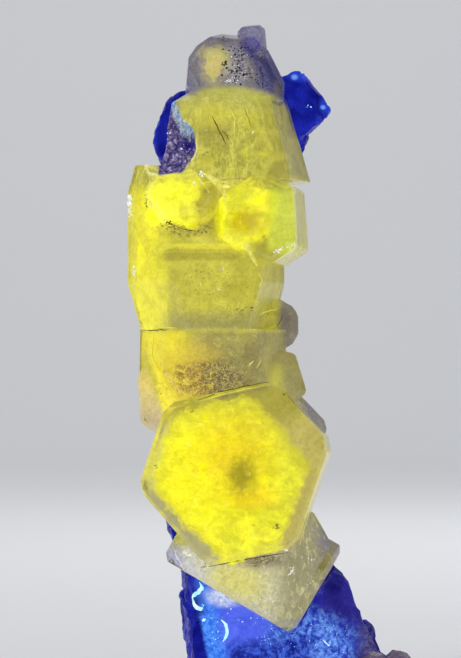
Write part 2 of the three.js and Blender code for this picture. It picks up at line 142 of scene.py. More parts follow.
REAR_PLATE = dict(
    at=(-2.6, 0.4, 24.1), axis=(0.05, -0.99, 0.02), turn=44,
    sides=(9.05, 7.4, 7.6, 7.4, 7.2, 7.0), ends=(3.2, 3.0),
    corner=0.3, bevels=(FINE,),
)
LOWER = dict(
    at=(-1.35, -1.2, 16.0), axis=(0.86, -0.04, -0.5), turn=90,
    sides=(5.1, 6.6, 3.55, 5.1, 4.6, 5.9), ends=(7.0, 7.3),
    corner=0.15, bevels=((45, 0.5, 0, None), (27, 1.7, 1, (4, 5))),
)
LOWER_STEP_OUTER = dict(
    LOWER, at=(-1.9, -1.4, 14.9), sides=(4.75, 4.9, 3.0, 5.0, 2.6, 3.4), ends=(7.6, 6.2),
    bevels=((52, 0.5, 0, None),),
)
LOWER_STEP_INNER = dict(
    LOWER, at=(-0.6, -2.4, 17.2), sides=(3.7, 2.8, 2.4, 4.6, 2.6, 3.0), ends=(7.6, 5.0),
    bevels=((55, 0.4, 0, None),),
)
BACK_CRYSTALS = [
    dict(at=at, axis=axis, turn=turn, sides=sides, ends=(2.6, 4.0), corner=0.12, bevels=(BROAD,))
    for at, axis, turn, sides in (
        ((-5.2, 4.6, 54.2), (0.2, 0.6, 0.77), 12, (3.0, 3.2, 2.9, 3.0, 3.1, 3.0)),
        ((-9.4, 3.8, 44.5), (-0.5, 0.83, 0.2), 30, (3.1, 2.8, 3.1, 3.0, 2.8, 3.0)),
        ((-3.0, 6.0, 39.5), (0.3, 0.94, -0.1), 8, (3.2, 3.3, 3.1, 3.0, 3.2, 3.2)),
        ((-8.6, 4.4, 30.5), (-0.55, 0.8, 0.2), 50, (2.7, 2.9, 2.7, 2.7, 2.8, 2.7)),
    )
]
APATITE = [
    CROWN, KNOB, BARREL, DRUM_UPPER, DRUM_LOWER, BUD, WINDOW, BAND, REAR_LOBE, REAR_CORNER,
    LEFT_BULGE, FRONT_PLATE, REAR_PLATE, LOWER, LOWER_STEP_OUTER, LOWER_STEP_INNER, *BACK_CRYSTALS,
]

# The broken and etched hollows in the clear crystals: centre and half sizes.
BROKEN_AT, BROKEN_HALF = (-10.6, -5.6, 56.3), (3.3, 4.2, 3.1)
HOLLOWS = [
    (BROKEN_AT, BROKEN_HALF),
    ((-8.4, -3.2, 56.1), (1.3, 2.0, 1.2)),
    ((-1.8, -3.4, 66.2), (0.7, 1.3, 0.55)),
]

# ---- Modelling helpers ----


def deselect():
    if bpy.context.object and bpy.context.object.mode != "OBJECT":
        bpy.ops.object.mode_set(mode="OBJECT")
    bpy.ops.object.select_all(action="DESELECT")


def take(*pieces):
    """Selects these pieces alone, with the first one active."""
    deselect()
    for piece in pieces:
        piece.select_set(True)
    bpy.context.view_layer.objects.active = pieces[0]
    return pieces[0]


def choose(action="SELECT"):
    bpy.ops.mesh.select_all(action=action)


def edit(piece, kind="FACE"):
    """Opens a piece in edit mode, with all of it selected."""
    take(piece)
    bpy.ops.object.mode_set(mode="EDIT")
    bpy.ops.mesh.select_mode(type=kind)
    choose()


def settle(piece):
    """Puts a piece's place, turn and size into its mesh."""
    take(piece)
    bpy.ops.object.transform_apply(location=True, rotation=True, scale=True)
    return piece


def modify(piece, kind, **settings):
    """Adds a modifier and applies it."""
    take(piece)
    modifier = piece.modifiers.new(kind.title(), kind)
    for name, setting in settings.items():
        setattr(modifier, name, setting)
    bpy.ops.object.modifier_apply(modifier=modifier.name)
    return piece


def round_edges(piece, width, angle):
    """Rounds the edges that bend more than an angle."""
    return modify(
        piece, "BEVEL", width=width, segments=2, limit_method="ANGLE", angle_limit=math.radians(angle),
    )


def join(name, pieces):
    take(*pieces)
    bpy.ops.object.join()
    pieces[0].name = name
    return pieces[0]


def longest_edges(piece, longest):
    """Selects, in edit mode, the edges over a length, and says whether there are any."""
    bpy.ops.mesh.select_mode(type="EDGE")
    choose("DESELECT")
    bpy.ops.object.mode_set(mode="OBJECT")
    points = piece.data.vertices
    found = False
    for line in piece.data.edges:
        first, second = (points[i].co for i in line.vertices)
        line.select = (first - second).length > longest
        found = found or line.select
    bpy.ops.object.mode_set(mode="EDIT")
    return found


def refine(piece, longest):
    """Splits the piece's faces until no edge is over a length."""
    edit(piece)
    bpy.ops.mesh.quads_convert_to_tris(quad_method="BEAUTY", ngon_method="BEAUTY")
    rounds = 0
    while longest_edges(piece, longest) and rounds < MOST_SPLITS:
        bpy.ops.mesh.subdivide(number_cuts=1, quadcorner="INNERVERT")
        choose()
        bpy.ops.mesh.quads_convert_to_tris(quad_method="BEAUTY", ngon_method="BEAUTY")
        rounds += 1
    choose()
    bpy.ops.mesh.beautify_fill(angle_limit=math.radians(1))
    deselect()
    return piece


def roughen(piece, *layers, grow=0.0):
    """Moves each point out, and by layers of noise: (height mm, bumps per mm, shift)."""
    normals = [point.normal.copy() for point in piece.data.vertices]
    for point, normal in zip(piece.data.vertices, normals):
        place = point.co / MM
        rise = sum(
            height * noise.fractal(place * grain + Vector((shift,) * 3), 0.9, 2.1, 3)
            for height, grain, shift in layers
        )
        point.co += normal * (rise + grow) * MM
    piece.data.update()
    return piece


def mark_edges(piece):
    """Stores on each point how sharply the piece bends outwards there, for painted edge highlights."""
    mesh = piece.data
    spread = [[] for _ in mesh.vertices]
    for face in mesh.polygons:
        for i in face.vertices:
            spread[i].append(face)
    highlit_edges = mesh.attributes.new("highlit_edges", "FLOAT", "POINT")
    for point, faces in zip(mesh.vertices, spread):
        mean = point.normal
        bend = max(1 - mean.dot(face.normal) for face in faces)
        outwards = sum((face.center - point.co).dot(mean) for face in faces) < 0
        highlit_edges.data[point.index].value = min(1.0, bend * HIGHLIT_EDGE_GAIN) if outwards else 0.0
    return piece


def keep_flat(piece):
    """Puts whatever noise has pushed under the sawn foot back on it."""
    for point in piece.data.vertices:
        if point.co.z < FOOT_MARGIN:
            point.co.z = 0.0
    piece.data.update()


def smooth(piece, angle):
    take(piece)
    bpy.ops.object.shade_smooth_by_angle(angle=math.radians(angle))
    return piece


def faces_of(spec):
    """Each face of a crystal as (normal, distance from the centre)."""
    along = Vector(spec["axis"]).normalized()
    across = Vector((1, 0, 0))
    right = (across - along * across.dot(along)).normalized()
    over = along.cross(right)
    sides, ends = spec["sides"], spec["ends"]
    taper, corner = spec.get("taper", 0), spec["corner"]

    def outward(angle, lean, end):
        radial = right * math.cos(math.radians(angle)) + over * math.sin(math.radians(angle))
        return radial * math.cos(math.radians(lean)) + along * end * math.sin(math.radians(lean))

    found = [(along, ends[0]), (-along, ends[1])]
    slope = math.cos(math.radians(taper))
    for i, side in enumerate(sides):
        angle = spec["turn"] + HEX * i
        found.append((outward(angle, taper, 1), side * slope))
        reach = (side + sides[(i + 1) % 6]) / (2 * math.cos(math.radians(HALF_HEX))) - corner
        found.append((outward(angle + HALF_HEX, taper, 1), reach * slope))
        for lean, cut, which, only in spec["bevels"]:
            if only and i not in only:
                continue
            for end in (1, -1) if which == 0 else (which,):
                height = ends[0] if end > 0 else ends[1]
                there = side - end * height * math.tan(math.radians(taper))
                tilt = math.radians(lean)
                edge = there * math.cos(tilt) + height * math.sin(tilt)
                found.append((outward(angle, lean, end), edge - cut))
    return found


def crystal(name, spec):
    """A hexagonal crystal: a block that is cut back to each of its faces in turn."""
    centre = Vector(spec["at"]) * MM
    reach = 3 * max(*spec["sides"], *spec["ends"])
    bpy.ops.mesh.primitive_cube_add(size=reach * MM, location=centre)
    piece = bpy.context.object
    piece.name = name
    settle(piece)
    edit(piece)
    for normal, distance in faces_of(spec):
        choose()
        bpy.ops.mesh.bisect(
            plane_co=centre + normal * distance * MM, plane_no=normal,
            use_fill=True, clear_outer=True,
        )
    choose()
    bpy.ops.mesh.remove_doubles(threshold=CRYSTAL_WELD)
    bpy.ops.mesh.normals_make_consistent(inside=False)
    deselect()
    return piece


def lump(name, at, half_sizes):
    """A ball of the given half sizes."""
    bpy.ops.mesh.primitive_ico_sphere_add(subdivisions=4, radius=MM, location=Vector(at) * MM)
    piece = bpy.context.object
    piece.name = name
    piece.scale = half_sizes
    return settle(piece)


def combine(piece, others, operation):
    """Unites other pieces with a piece, or cuts them out of it, and takes them away."""
    tools = bpy.data.collections.new("tools")
    bpy.context.scene.collection.children.link(tools)
    for other in others:
        tools.objects.link(other)
    modify(
        piece, "BOOLEAN", operation=operation, operand_type="COLLECTION", collection=tools,
        solver="EXACT",
    )
    take(*others)
    bpy.ops.object.delete()
    bpy.data.collections.remove(tools)
    return piece


# ---- Clear crystal ----


def hollows(margin):
    """The broken and etched hollows, grown by a margin in millimetres."""
    made = []
    for i, (at, half_sizes) in enumerate(HOLLOWS):
        hollow = lump(f"hollow_{i}", at, [size + margin for size in half_sizes])
        made.append(roughen(hollow, (0.5, 0.5, 3.0), (0.22, 1.7, 8.0)))
    return made


def clear_apatite():
    parts = [crystal(f"crystal_{i}", spec) for i, spec in enumerate(APATITE)]
    for part in parts:
        round_edges(part, CRYSTAL_ROUND, 12)
    whole = combine(parts[0], parts[1:], "UNION")
    whole = combine(whole, hollows(0.0), "DIFFERENCE")
    whole.name = "clear_apatite"
    refine(whole, 0.75 * MM)
    mark_edges(whole)
    roughen(whole, (0.03, 0.45, 2.0), (0.012, 1.9, 5.0))
    return smooth(whole, 24)


# ---- Growth hearts inside the clear crystal ----


def inset(spec, sides, ends, **changes):
    """A crystal's spec with its six sides and two ends set in."""
    return dict(
        spec, sides=tuple(a - b for a, b in zip(spec["sides"], sides)),
        ends=tuple(a - b for a, b in zip(spec["ends"], ends)), **changes,
    )


def heart(name, specs, lumps, longest, *layers):
    """Crystals and lumps grown together, with a cloudy rough surface."""
    parts = [crystal(f"{name}_{i}", spec) for i, spec in enumerate(specs)]
    parts += [lump(f"{name}_lump_{i}", *ball) for i, ball in enumerate(lumps)]
    whole = combine(parts[0], parts[1:], "UNION")
    whole = combine(whole, hollows(0.5), "DIFFERENCE")
    whole.name = name
    refine(whole, longest * MM)
    roughen(whole, *layers)
    return smooth(whole, 80)


def haze(core, name, grow, *layers):
    """A thin cloudy skin round a heart."""
    take(core)
    bpy.ops.object.duplicate()
    skin = bpy.context.object
    skin.name = name
    roughen(skin, *layers, grow=grow)
    return skin


ROUNDED = ((45, 0.6, 0, None),)
DOMED = ((36, 0.9, 0, None),)
SHOULDERED = ((58, 1.2, 1, None),)
ROUND_HEART = dict(corner=0.5, bevels=ROUNDED)
BRIGHT = [
    inset(FRONT_PLATE, (3.1, 1.2, 1.5, 1.6, 0.7, 1.8), (1.0, 4.2), corner=0.3, bevels=ROUNDED),
]
BRIGHT_LUMPS = [
    ((-2.3, -6.8, 48.9), (2.8, 1.6, 2.6)),
    ((-1.2, -6.7, 49.9), (2.0, 1.5, 1.9)),
    ((-9.3, -6.0, 50.6), (2.3, 1.5, 2.0)),
    ((-8.0, -6.0, 51.4), (1.3, 1.3, 1.2)),
    ((-7.6, -5.9, 49.5), (1.2, 1.3, 1.1)),
    ((-10.6, -5.8, 49.6), (1.0, 1.2, 1.0)),
    ((-5.5, -2.6, 63.9), (1.1, 1.0, 1.5)),
    ((-5.0, -2.6, 64.8), (0.8, 0.9, 0.9)),
]
DULL = [
    inset(FRONT_PLATE, (0.3,) * 6, (2.4, 0.4), corner=0.6, bevels=(FINE,)),
    inset(WINDOW, (0.35,) * 6, (2.0, 0.4), corner=0.3, bevels=(FINE,)),
    inset(BUD, (0.35,) * 6, (1.5, 0.4), corner=0.6, bevels=((45, 0.5, 0, None),)),
    inset(CROWN, (0.7, 0.5, 0.5, 0.6, 0.8, 0.7), (1.1, 0.8), corner=1.1, bevels=DOMED),
    inset(BARREL, (0.6, 1.7, 0.7, 0.6, 0.6, 0.8), (0.6, 0.3), corner=0.8, bevels=SHOULDERED),
    inset(DRUM_UPPER, (0.5,) * 6, (0.5, 0.5), corner=0.6),
    inset(DRUM_LOWER, (0.5,) * 6, (0.5, 0.1), corner=0.6),
    inset(BAND, (0.5,) * 6, (-0.3, 0.4), corner=0.6),
    inset(LEFT_BULGE, (0.5,) * 6, (0.5, 0.4), **ROUND_HEART),
    inset(REAR_LOBE, (0.5,) * 6, (0.6, 0.4), **ROUND_HEART),
    inset(REAR_CORNER, (0.6,) * 6, (0.6, 0.4), **ROUND_HEART),
    inset(LOWER, (0.4,) * 6, (0.5, 0.8), corner=0.5),
    inset(LOWER_STEP_OUTER, (0.4,) * 6, (0.5, 0.8), corner=0.4),
    inset(REAR_PLATE, (0.8,) * 6, (0.8, 0.6), **ROUND_HEART),
]

# ---- Matrix ----


def dressed_copy(node, name, longest, rounding, *layers):
    """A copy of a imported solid, merged, with finer faces and a natural surface."""
    take(frame["nodes"][node])
    bpy.ops.object.duplicate()
    copy = bpy.context.object
    copy.name = name
    bpy.ops.object.parent_clear(type="CLEAR_KEEP_TRANSFORM")
    edit(copy)
    bpy.ops.mesh.remove_doubles(threshold=ROCK_WELD)
    bpy.ops.mesh.dissolve_limited(angle_limit=math.radians(1))
    deselect()
    round_edges(copy, ROCK_ROUND, 20)
    refine(copy, longest * MM)
    mark_edges(copy)
    modify(copy, "SMOOTH", factor=0.5, iterations=rounding)
    roughen(copy, *layers)
    keep_flat(copy)
    return smooth(copy, 50)


# ---- Lines, specks and sparkles on and under the clear surface ----

# Where a line of sight starts, in front of the cluster, in mm.
IN_FRONT = -30
# A line's steps, how far it strays in mm, and how it swells and thins from step to step.
LINE_STEPS, LINE_STRAY = 9, 0.05
SWELL, THIN = 1.6, 0.62
# A fleck's length in its field's size, and its height and thickness in its length.
FLECK_LENGTHS, FLECK_HEIGHTS, FLECK_THICKNESS = (0.45, 1.3), (0.3, 0.9), 0.4
FLECK_DEPTHS = (0.4, 1.2)


def on_surface(tree, x, z, sunk=0.0):
    """The front of a piece at x and z in millimetres, sunk under it by a depth."""
    found = tree.ray_cast(Vector((x, IN_FRONT, z)) * MM, Vector((0, 1, 0)))[0]
    return found + Vector((0, sunk * MM, 0)) if found else None


def surface_of(piece):
    return BVHTree.FromObject(piece, bpy.context.evaluated_depsgraph_get())


def sliver(name, tree, points, width):
    """A thin dark or pale line that follows the surface, drawn out from a small ring."""
    route = []
    for i in range(LINE_STEPS + 1):
        share = i / LINE_STEPS * (len(points) - 1)
        start = min(int(share), len(points) - 2)
        first, second = Vector(points[start]), Vector(points[start + 1])
        spot = first.lerp(second, share - start)
        spot += Vector([draw.uniform(-LINE_STRAY, LINE_STRAY) for _ in range(2)])
        place = on_surface(tree, spot.x, spot.y)
        if place:
            route.append(place)
    heading = (route[-1] - route[0]).to_track_quat("Z", "Y").to_euler()
    bpy.ops.mesh.primitive_circle_add(
        vertices=5, radius=0.25 * width * MM, fill_type="NGON", location=route[0], rotation=heading,
    )
    piece = bpy.context.object
    piece.name = name
    settle(piece)
    edit(piece)
    half = len(route) / 2
    for i in range(1, len(route)):
        bpy.ops.mesh.extrude_region_move(TRANSFORM_OT_translate={"value": route[i] - route[i - 1]})
        grow = SWELL if i < half * 0.6 else THIN if i > half * 1.4 else 1.0
        bpy.ops.transform.resize(value=(grow,) * 3, center_override=route[i])
    choose()
    bpy.ops.mesh.normals_make_consistent(inside=False)
    deselect()
    return piece


def slivers(name, tree, lines):
    """Several slivers joined: (points, width) for each."""
    return join(name, [sliver(f"{name}_{i}", tree, *line) for i, line in enumerate(lines)])


def flecks(name, tree, fields):
    """Small angular flecks in fields: (x, z, half sizes, lean, count, size, depth if any)."""
    bpy.ops.mesh.primitive_ico_sphere_add(subdivisions=1, radius=MM)
    first = bpy.context.object
    made = []
    for x, z, wide, high, lean, count, size, *depth in fields:
        sunk = depth[0] if depth else 0.0
        for _ in range(count):
            across, up = draw.gauss(0, 0.5) * wide, draw.gauss(0, 0.5) * high
            turn = math.radians(lean)
            place = on_surface(
                tree, x + across * math.cos(turn) - up * math.sin(turn),
                z + across * math.sin(turn) + up * math.cos(turn), sunk * draw.uniform(*FLECK_DEPTHS),
            )
            if not place:
                continue
            grain = size * draw.uniform(*FLECK_LENGTHS)
            height = grain * draw.uniform(*FLECK_HEIGHTS)
            shape = Matrix.Diagonal((grain, grain * FLECK_THICKNESS, height, 1))
            swing = Euler((
                draw.uniform(-0.6, 0.6), turn + draw.uniform(-0.9, 0.9), draw.uniform(-0.5, 0.5),
            ))
            fleck = bpy.data.objects.new(name, first.data.copy())
            fleck.data.transform(Matrix.Translation(place) @ swing.to_matrix().to_4x4() @ shape)
            bpy.context.scene.collection.objects.link(fleck)
            made.append(fleck)
    bpy.data.objects.remove(first)
    return join(name, made)


# ---- Shader maths ----


def srgb(red, green, blue):
    """A colour as it looks on a screen, from 0 to 255, made linear."""
    return tuple(
        value / 255 / 12.92 if value < 10.3 else ((value / 255 + 0.055) / 1.055) ** 2.4
        for value in (red, green, blue)
    ) + (1.0,)


class Value:
    """One socket of a material. An expression on values adds its Math nodes."""

    def __init__(self, tree, socket):
        self.tree = tree
        self.socket = socket

    def make(self, kind, settings, sockets, output=0):
        """Adds any node: its settings first, then its sockets' values or links."""
        node = self.tree.nodes.new(kind)
        for name, setting in settings.items():
            setattr(node, name, setting)
        for name, source in sockets.items():
            if isinstance(source, Value):
                self.tree.links.new(source.socket, node.inputs[name])
            else:
                node.inputs[name].default_value = source
        return Value(self.tree, node.outputs[output])

    def math(self, operation, first, second=0.0):
        return self.make("ShaderNodeMath", {"operation": operation}, {0: first, 1: second})

    def __add__(self, other):
        return self.math("ADD", self, other)

    def __mul__(self, other):
        return self.math("MULTIPLY", self, other)

    def __sub__(self, other):
        return self.math("SUBTRACT", self, other)

    def __rsub__(self, other):
        return self.math("SUBTRACT", other, self)

    def size(self):
        """This value without its sign."""
        return self.math("ABSOLUTE", self)

    def over(self, other):
        """The larger of two values."""
        return self.math("MAXIMUM", self, other)

    def rise(self, low, high):
        """0 below low, 1 above high, and smooth between."""
        return self.make(
            "ShaderNodeMapRange", {"interpolation_type": "SMOOTHSTEP"},
            {"Value": self, "From Min": low, "From Max": high},
        )

    def fall(self, low, high):
        """1 below low, 0 above high, and smooth between."""
        return 1 - self.rise(low, high)

    def vector(self, operation, other):
        return self.make("ShaderNodeVectorMath", {"operation": operation}, {0: self, 1: other})

    def cloud(self, grain, detail=4.0, roughness=0.55, distortion=0.0, shift=0.0):
        """Noise on this place, with grain in bumps per mm."""
        moved = self.vector("ADD", (shift, shift, shift)) if shift else self
        return self.make(
            "ShaderNodeTexNoise", {},
            {"Vector": moved, "Scale": grain, "Detail": detail, "Roughness": roughness,
             "Distortion": distortion},
        )

    def stretched(self, across, up):
        """This place with its grain squeezed sideways and upwards by these factors."""
        return self.vector("MULTIPLY", (across, 1.0, up))

    def cells(self, grain):
        """The distance to the nearest of scattered points, with grain in points per mm."""
        return self.make("ShaderNodeTexVoronoi", {}, {"Vector": self, "Scale": grain}, "Distance")

    def patch(self, centre, half_sizes, soft=0.3, ragged=0.0):
        """1 inside an ellipsoid on this place, and 0 outside it."""
        away = self.vector("SUBTRACT", centre).vector("DIVIDE", half_sizes)
        length = away.make("ShaderNodeVectorMath", {"operation": "LENGTH"}, {0: away}, "Value")
        return (length + ragged).fall(1 - soft, 1 + soft)

    def pick(self, low, high):
        """The colour low where this value is 0, and high where it is 1."""
        return self.make(
            "ShaderNodeMix", {"data_type": "RGBA"}, {0: self, 6: low, 7: high}, 2,
        )

    def blend(self, low, high, dark, light):
        """A dark screen colour where this value is low, and a light one where it is high."""
        return self.rise(low, high).pick(srgb(*dark), srgb(*light))

    def mottled(self, grain, spread):
        """This colour, darker and lighter by a share of itself where grain is low and high."""
        return self.tinted(grain.rise(0.3, 0.7) * (2 * spread) + (1 - spread))

    def tinted(self, factor):
        """This colour times a value."""
        return self.make("ShaderNodeVectorMath", {"operation": "SCALE"}, {0: self, "Scale": factor})


def layered(colour, *layers):
    """A colour with others laid over it: (mask, a colour) or (mask, red, green, blue) for each."""
    for mask, *top in layers:
        colour = mask.pick(colour, srgb(*top) if len(top) == 3 else top[0])
    return colour


class Finish:
    """A material with one main shader, its place in millimetres and a ragged value for edges."""

    def __init__(self, name, **settings):
        self.material = bpy.data.materials.new(name)
        self.material.use_nodes = True
        self.tree = self.material.node_tree
        self.shader = self.tree.nodes["Principled BSDF"]
        self.output = self.tree.nodes["Material Output"]
        for setting, value in settings.items():
            self.shader.inputs[setting.replace("_", " ")].default_value = value
        coordinates = self.tree.nodes.new("ShaderNodeTexCoord")
        metres = Value(self.tree, coordinates.outputs["Object"])
        self.place = metres.vector("MULTIPLY", (1000, 1000, 1000))
        axes = self.place.make("ShaderNodeSeparateXYZ", {}, {0: self.place})
        self.x, self.y, self.z = (
            Value(self.tree, axes.socket.node.outputs[i]) for i in range(3)
        )

        self.ragged = None

    def zone(self, centre, half_sizes, soft, spread=1.0):
        """1 inside an ellipsoid with a ragged edge, and 0 outside it."""
        ragged = self.ragged if spread == 1 else self.ragged * spread
        return self.place.patch(centre, half_sizes, soft, ragged)

    def feed(self, socket, value):
        self.tree.links.new(value.socket, self.shader.inputs[socket])

    def glow(self, colour, lit, given_off):
        """Feeds a colour: a share of it is lit, and a share is light that the surface gives off."""
        self.feed("Base Color", colour.tinted(lit))
        self.feed("Emission Color", colour.tinted(given_off))

    def highlit_edges(self):
        """How sharply the piece's edges bend outwards here, from 0 to 1: the mask of the painted edge
        highlights.
        """
        return self.place.make("ShaderNodeAttribute", {"attribute_name": "highlit_edges"}, {}, "Fac")

    def relief(self, height, depth):
        """A bump from a height of 0 to 1 that stands for a depth in millimetres."""
        bump = height.make("ShaderNodeBump", {}, {"Height": height, "Distance": depth * MM})
        self.feed("Normal", bump)

    def put_on(self, *pieces):
        for piece in pieces:
            piece.data.materials.clear()
            piece.data.materials.append(self.material)


# ---- Finishes ----

SUN_YELLOW = (255, 250, 0)

# The clear violet strip of the plate behind the front one: centre and half sizes.
STRIP_AT, STRIP_HALF = (4.8, 0.4, 29.3), (2.9, 4.0, 2.8)


def clear_strip(finish):
    return finish.place.patch(STRIP_AT, STRIP_HALF, 0.3) * finish.y.rise(-3.4, -2.6)


def crown_zone(finish, spread, low):
    """The crown: what lies over the barrel's domed top, and right of a leaning line."""
    x, z, ragged = finish.x, finish.z, finish.ragged
    dome = (z + (x + 4) * (x + 4) * 0.05 + ragged * spread).rise(low, 62.6)
    return dome.over((z + x * 1.08 + ragged * 0.4).rise(62.2, 63.0) * x.rise(-0.9, 0.1))


def bright_heart_finish(name, cover=None):
    """The bright yellow growth hearts, solid or with a part of the skin showing."""
    finish = Finish(name, Roughness=0.6, IOR=1.4, Specular_IOR_Level=0.1, Emission_Strength=1.0)
    place, x, z, zone = finish.place, finish.x, finish.z, finish.zone
    cloud = place.cloud(0.5, 8.0, 0.68, 0.5)
    fluff = place.cloud(1.5, 8.0, 0.72, 0.5, 7.0)
    feather = place.stretched(1.5, 0.8).cloud(1.2, 8.0, 0.75, 0.5, 3.0)
    swirls = place.stretched(0.7, 1.2).cloud(0.6, 6.0, 0.66, 2.0, 43.0)
    ragged = finish.ragged = fluff * 1.4 - 0.7
    plate = z.fall(38, 40)
    colour = layered(
        cloud.blend(0.44, 0.6, (214, 214, 4), SUN_YELLOW),
        (zone((-7.0, -8.5, 23.5), (3.8, 9, 6.5), 0.5), *SUN_YELLOW),
        (x.rise(-1.2, 2.0) * plate * cloud.rise(0.4, 0.6) * 0.7, 222, 226, 40),
        (z.rise(27.0, 30.4) * plate * 0.8, 206, 200, 4),
        (plate * swirls.rise(0.48, 0.58) * 0.6, 255, 255, 30),
        (plate * swirls.fall(0.41, 0.48) * 0.5, 206, 202, 0),
        ((x + (z - 25) * 0.6 + ragged * 0.9).rise(1.6, 3.2) * plate * 0.75, 196, 192, 30),
        # honey round the plate's olive middle
        (zone((-3.4, -8.8, 25.4), (3.6, 4, 3.4), 0.8) * feather.rise(0.25, 0.65) * 0.75, 238, 200, 0),
        (zone((-1.6, -8.8, 21.2), (2.4, 4, 1.0), 0.6) * 0.7, 246, 218, 0),
        (zone((-2.6, -8.8, 23.4), (1.2, 4, 1.6), 0.8, 1.6) * 0.95, 160, 148, 0),
    )
    green = (x + ragged * 0.5).rise(-0.1, 0.8) * z.rise(44, 45) * z.fall(54, 56)
    bud = z.rise(47.0, 47.6) * x.fall(-5.0, -4.6)
    bud_right = (x - (z - 50) * 0.3 + ragged * 2.2).rise(-7.8, -6.4) * bud
    crown = z.rise(57, 59)
    crown_core = zone((-5.7, -4, 64.2), (1.6, 5, 2.0), 0.7)
    colour = layered(
        colour,
        # the window's middle and right side
        (zone((-2.2, -9, 48.5), (1.6, 6, 1.1), 0.7) * 0.9, 190, 170, 0),
        (green * 0.9, 214, 228, 26),
        (bud * cloud.rise(0.3, 0.54) * 0.85, 255, 255, 50),
        (bud_right * 0.75, 190, 182, 30),
        (crown, crown_core.pick(srgb(166, 162, 88), srgb(200, 190, 80))),
        (zone((-5.3, -4, 64.1), (0.7, 5, 0.8), 0.8) * crown * 0.35, 216, 186, 60),
        (feather.rise(0.56, 0.62) * 0.45, 255, 253, 110),
        (feather.fall(0.36, 0.42) * 0.35, 196, 188, 0),
    )
    finish.glow(colour.mottled(fluff, 0.11), 0.4, 0.92)
    if cover:
        finish.feed("Alpha", place.cloud(1.1, 8.0, 0.75, 0.6, 27.0).rise(0.36, 0.6) * cover)
    finish.relief(fluff, 0.25)
    return finish


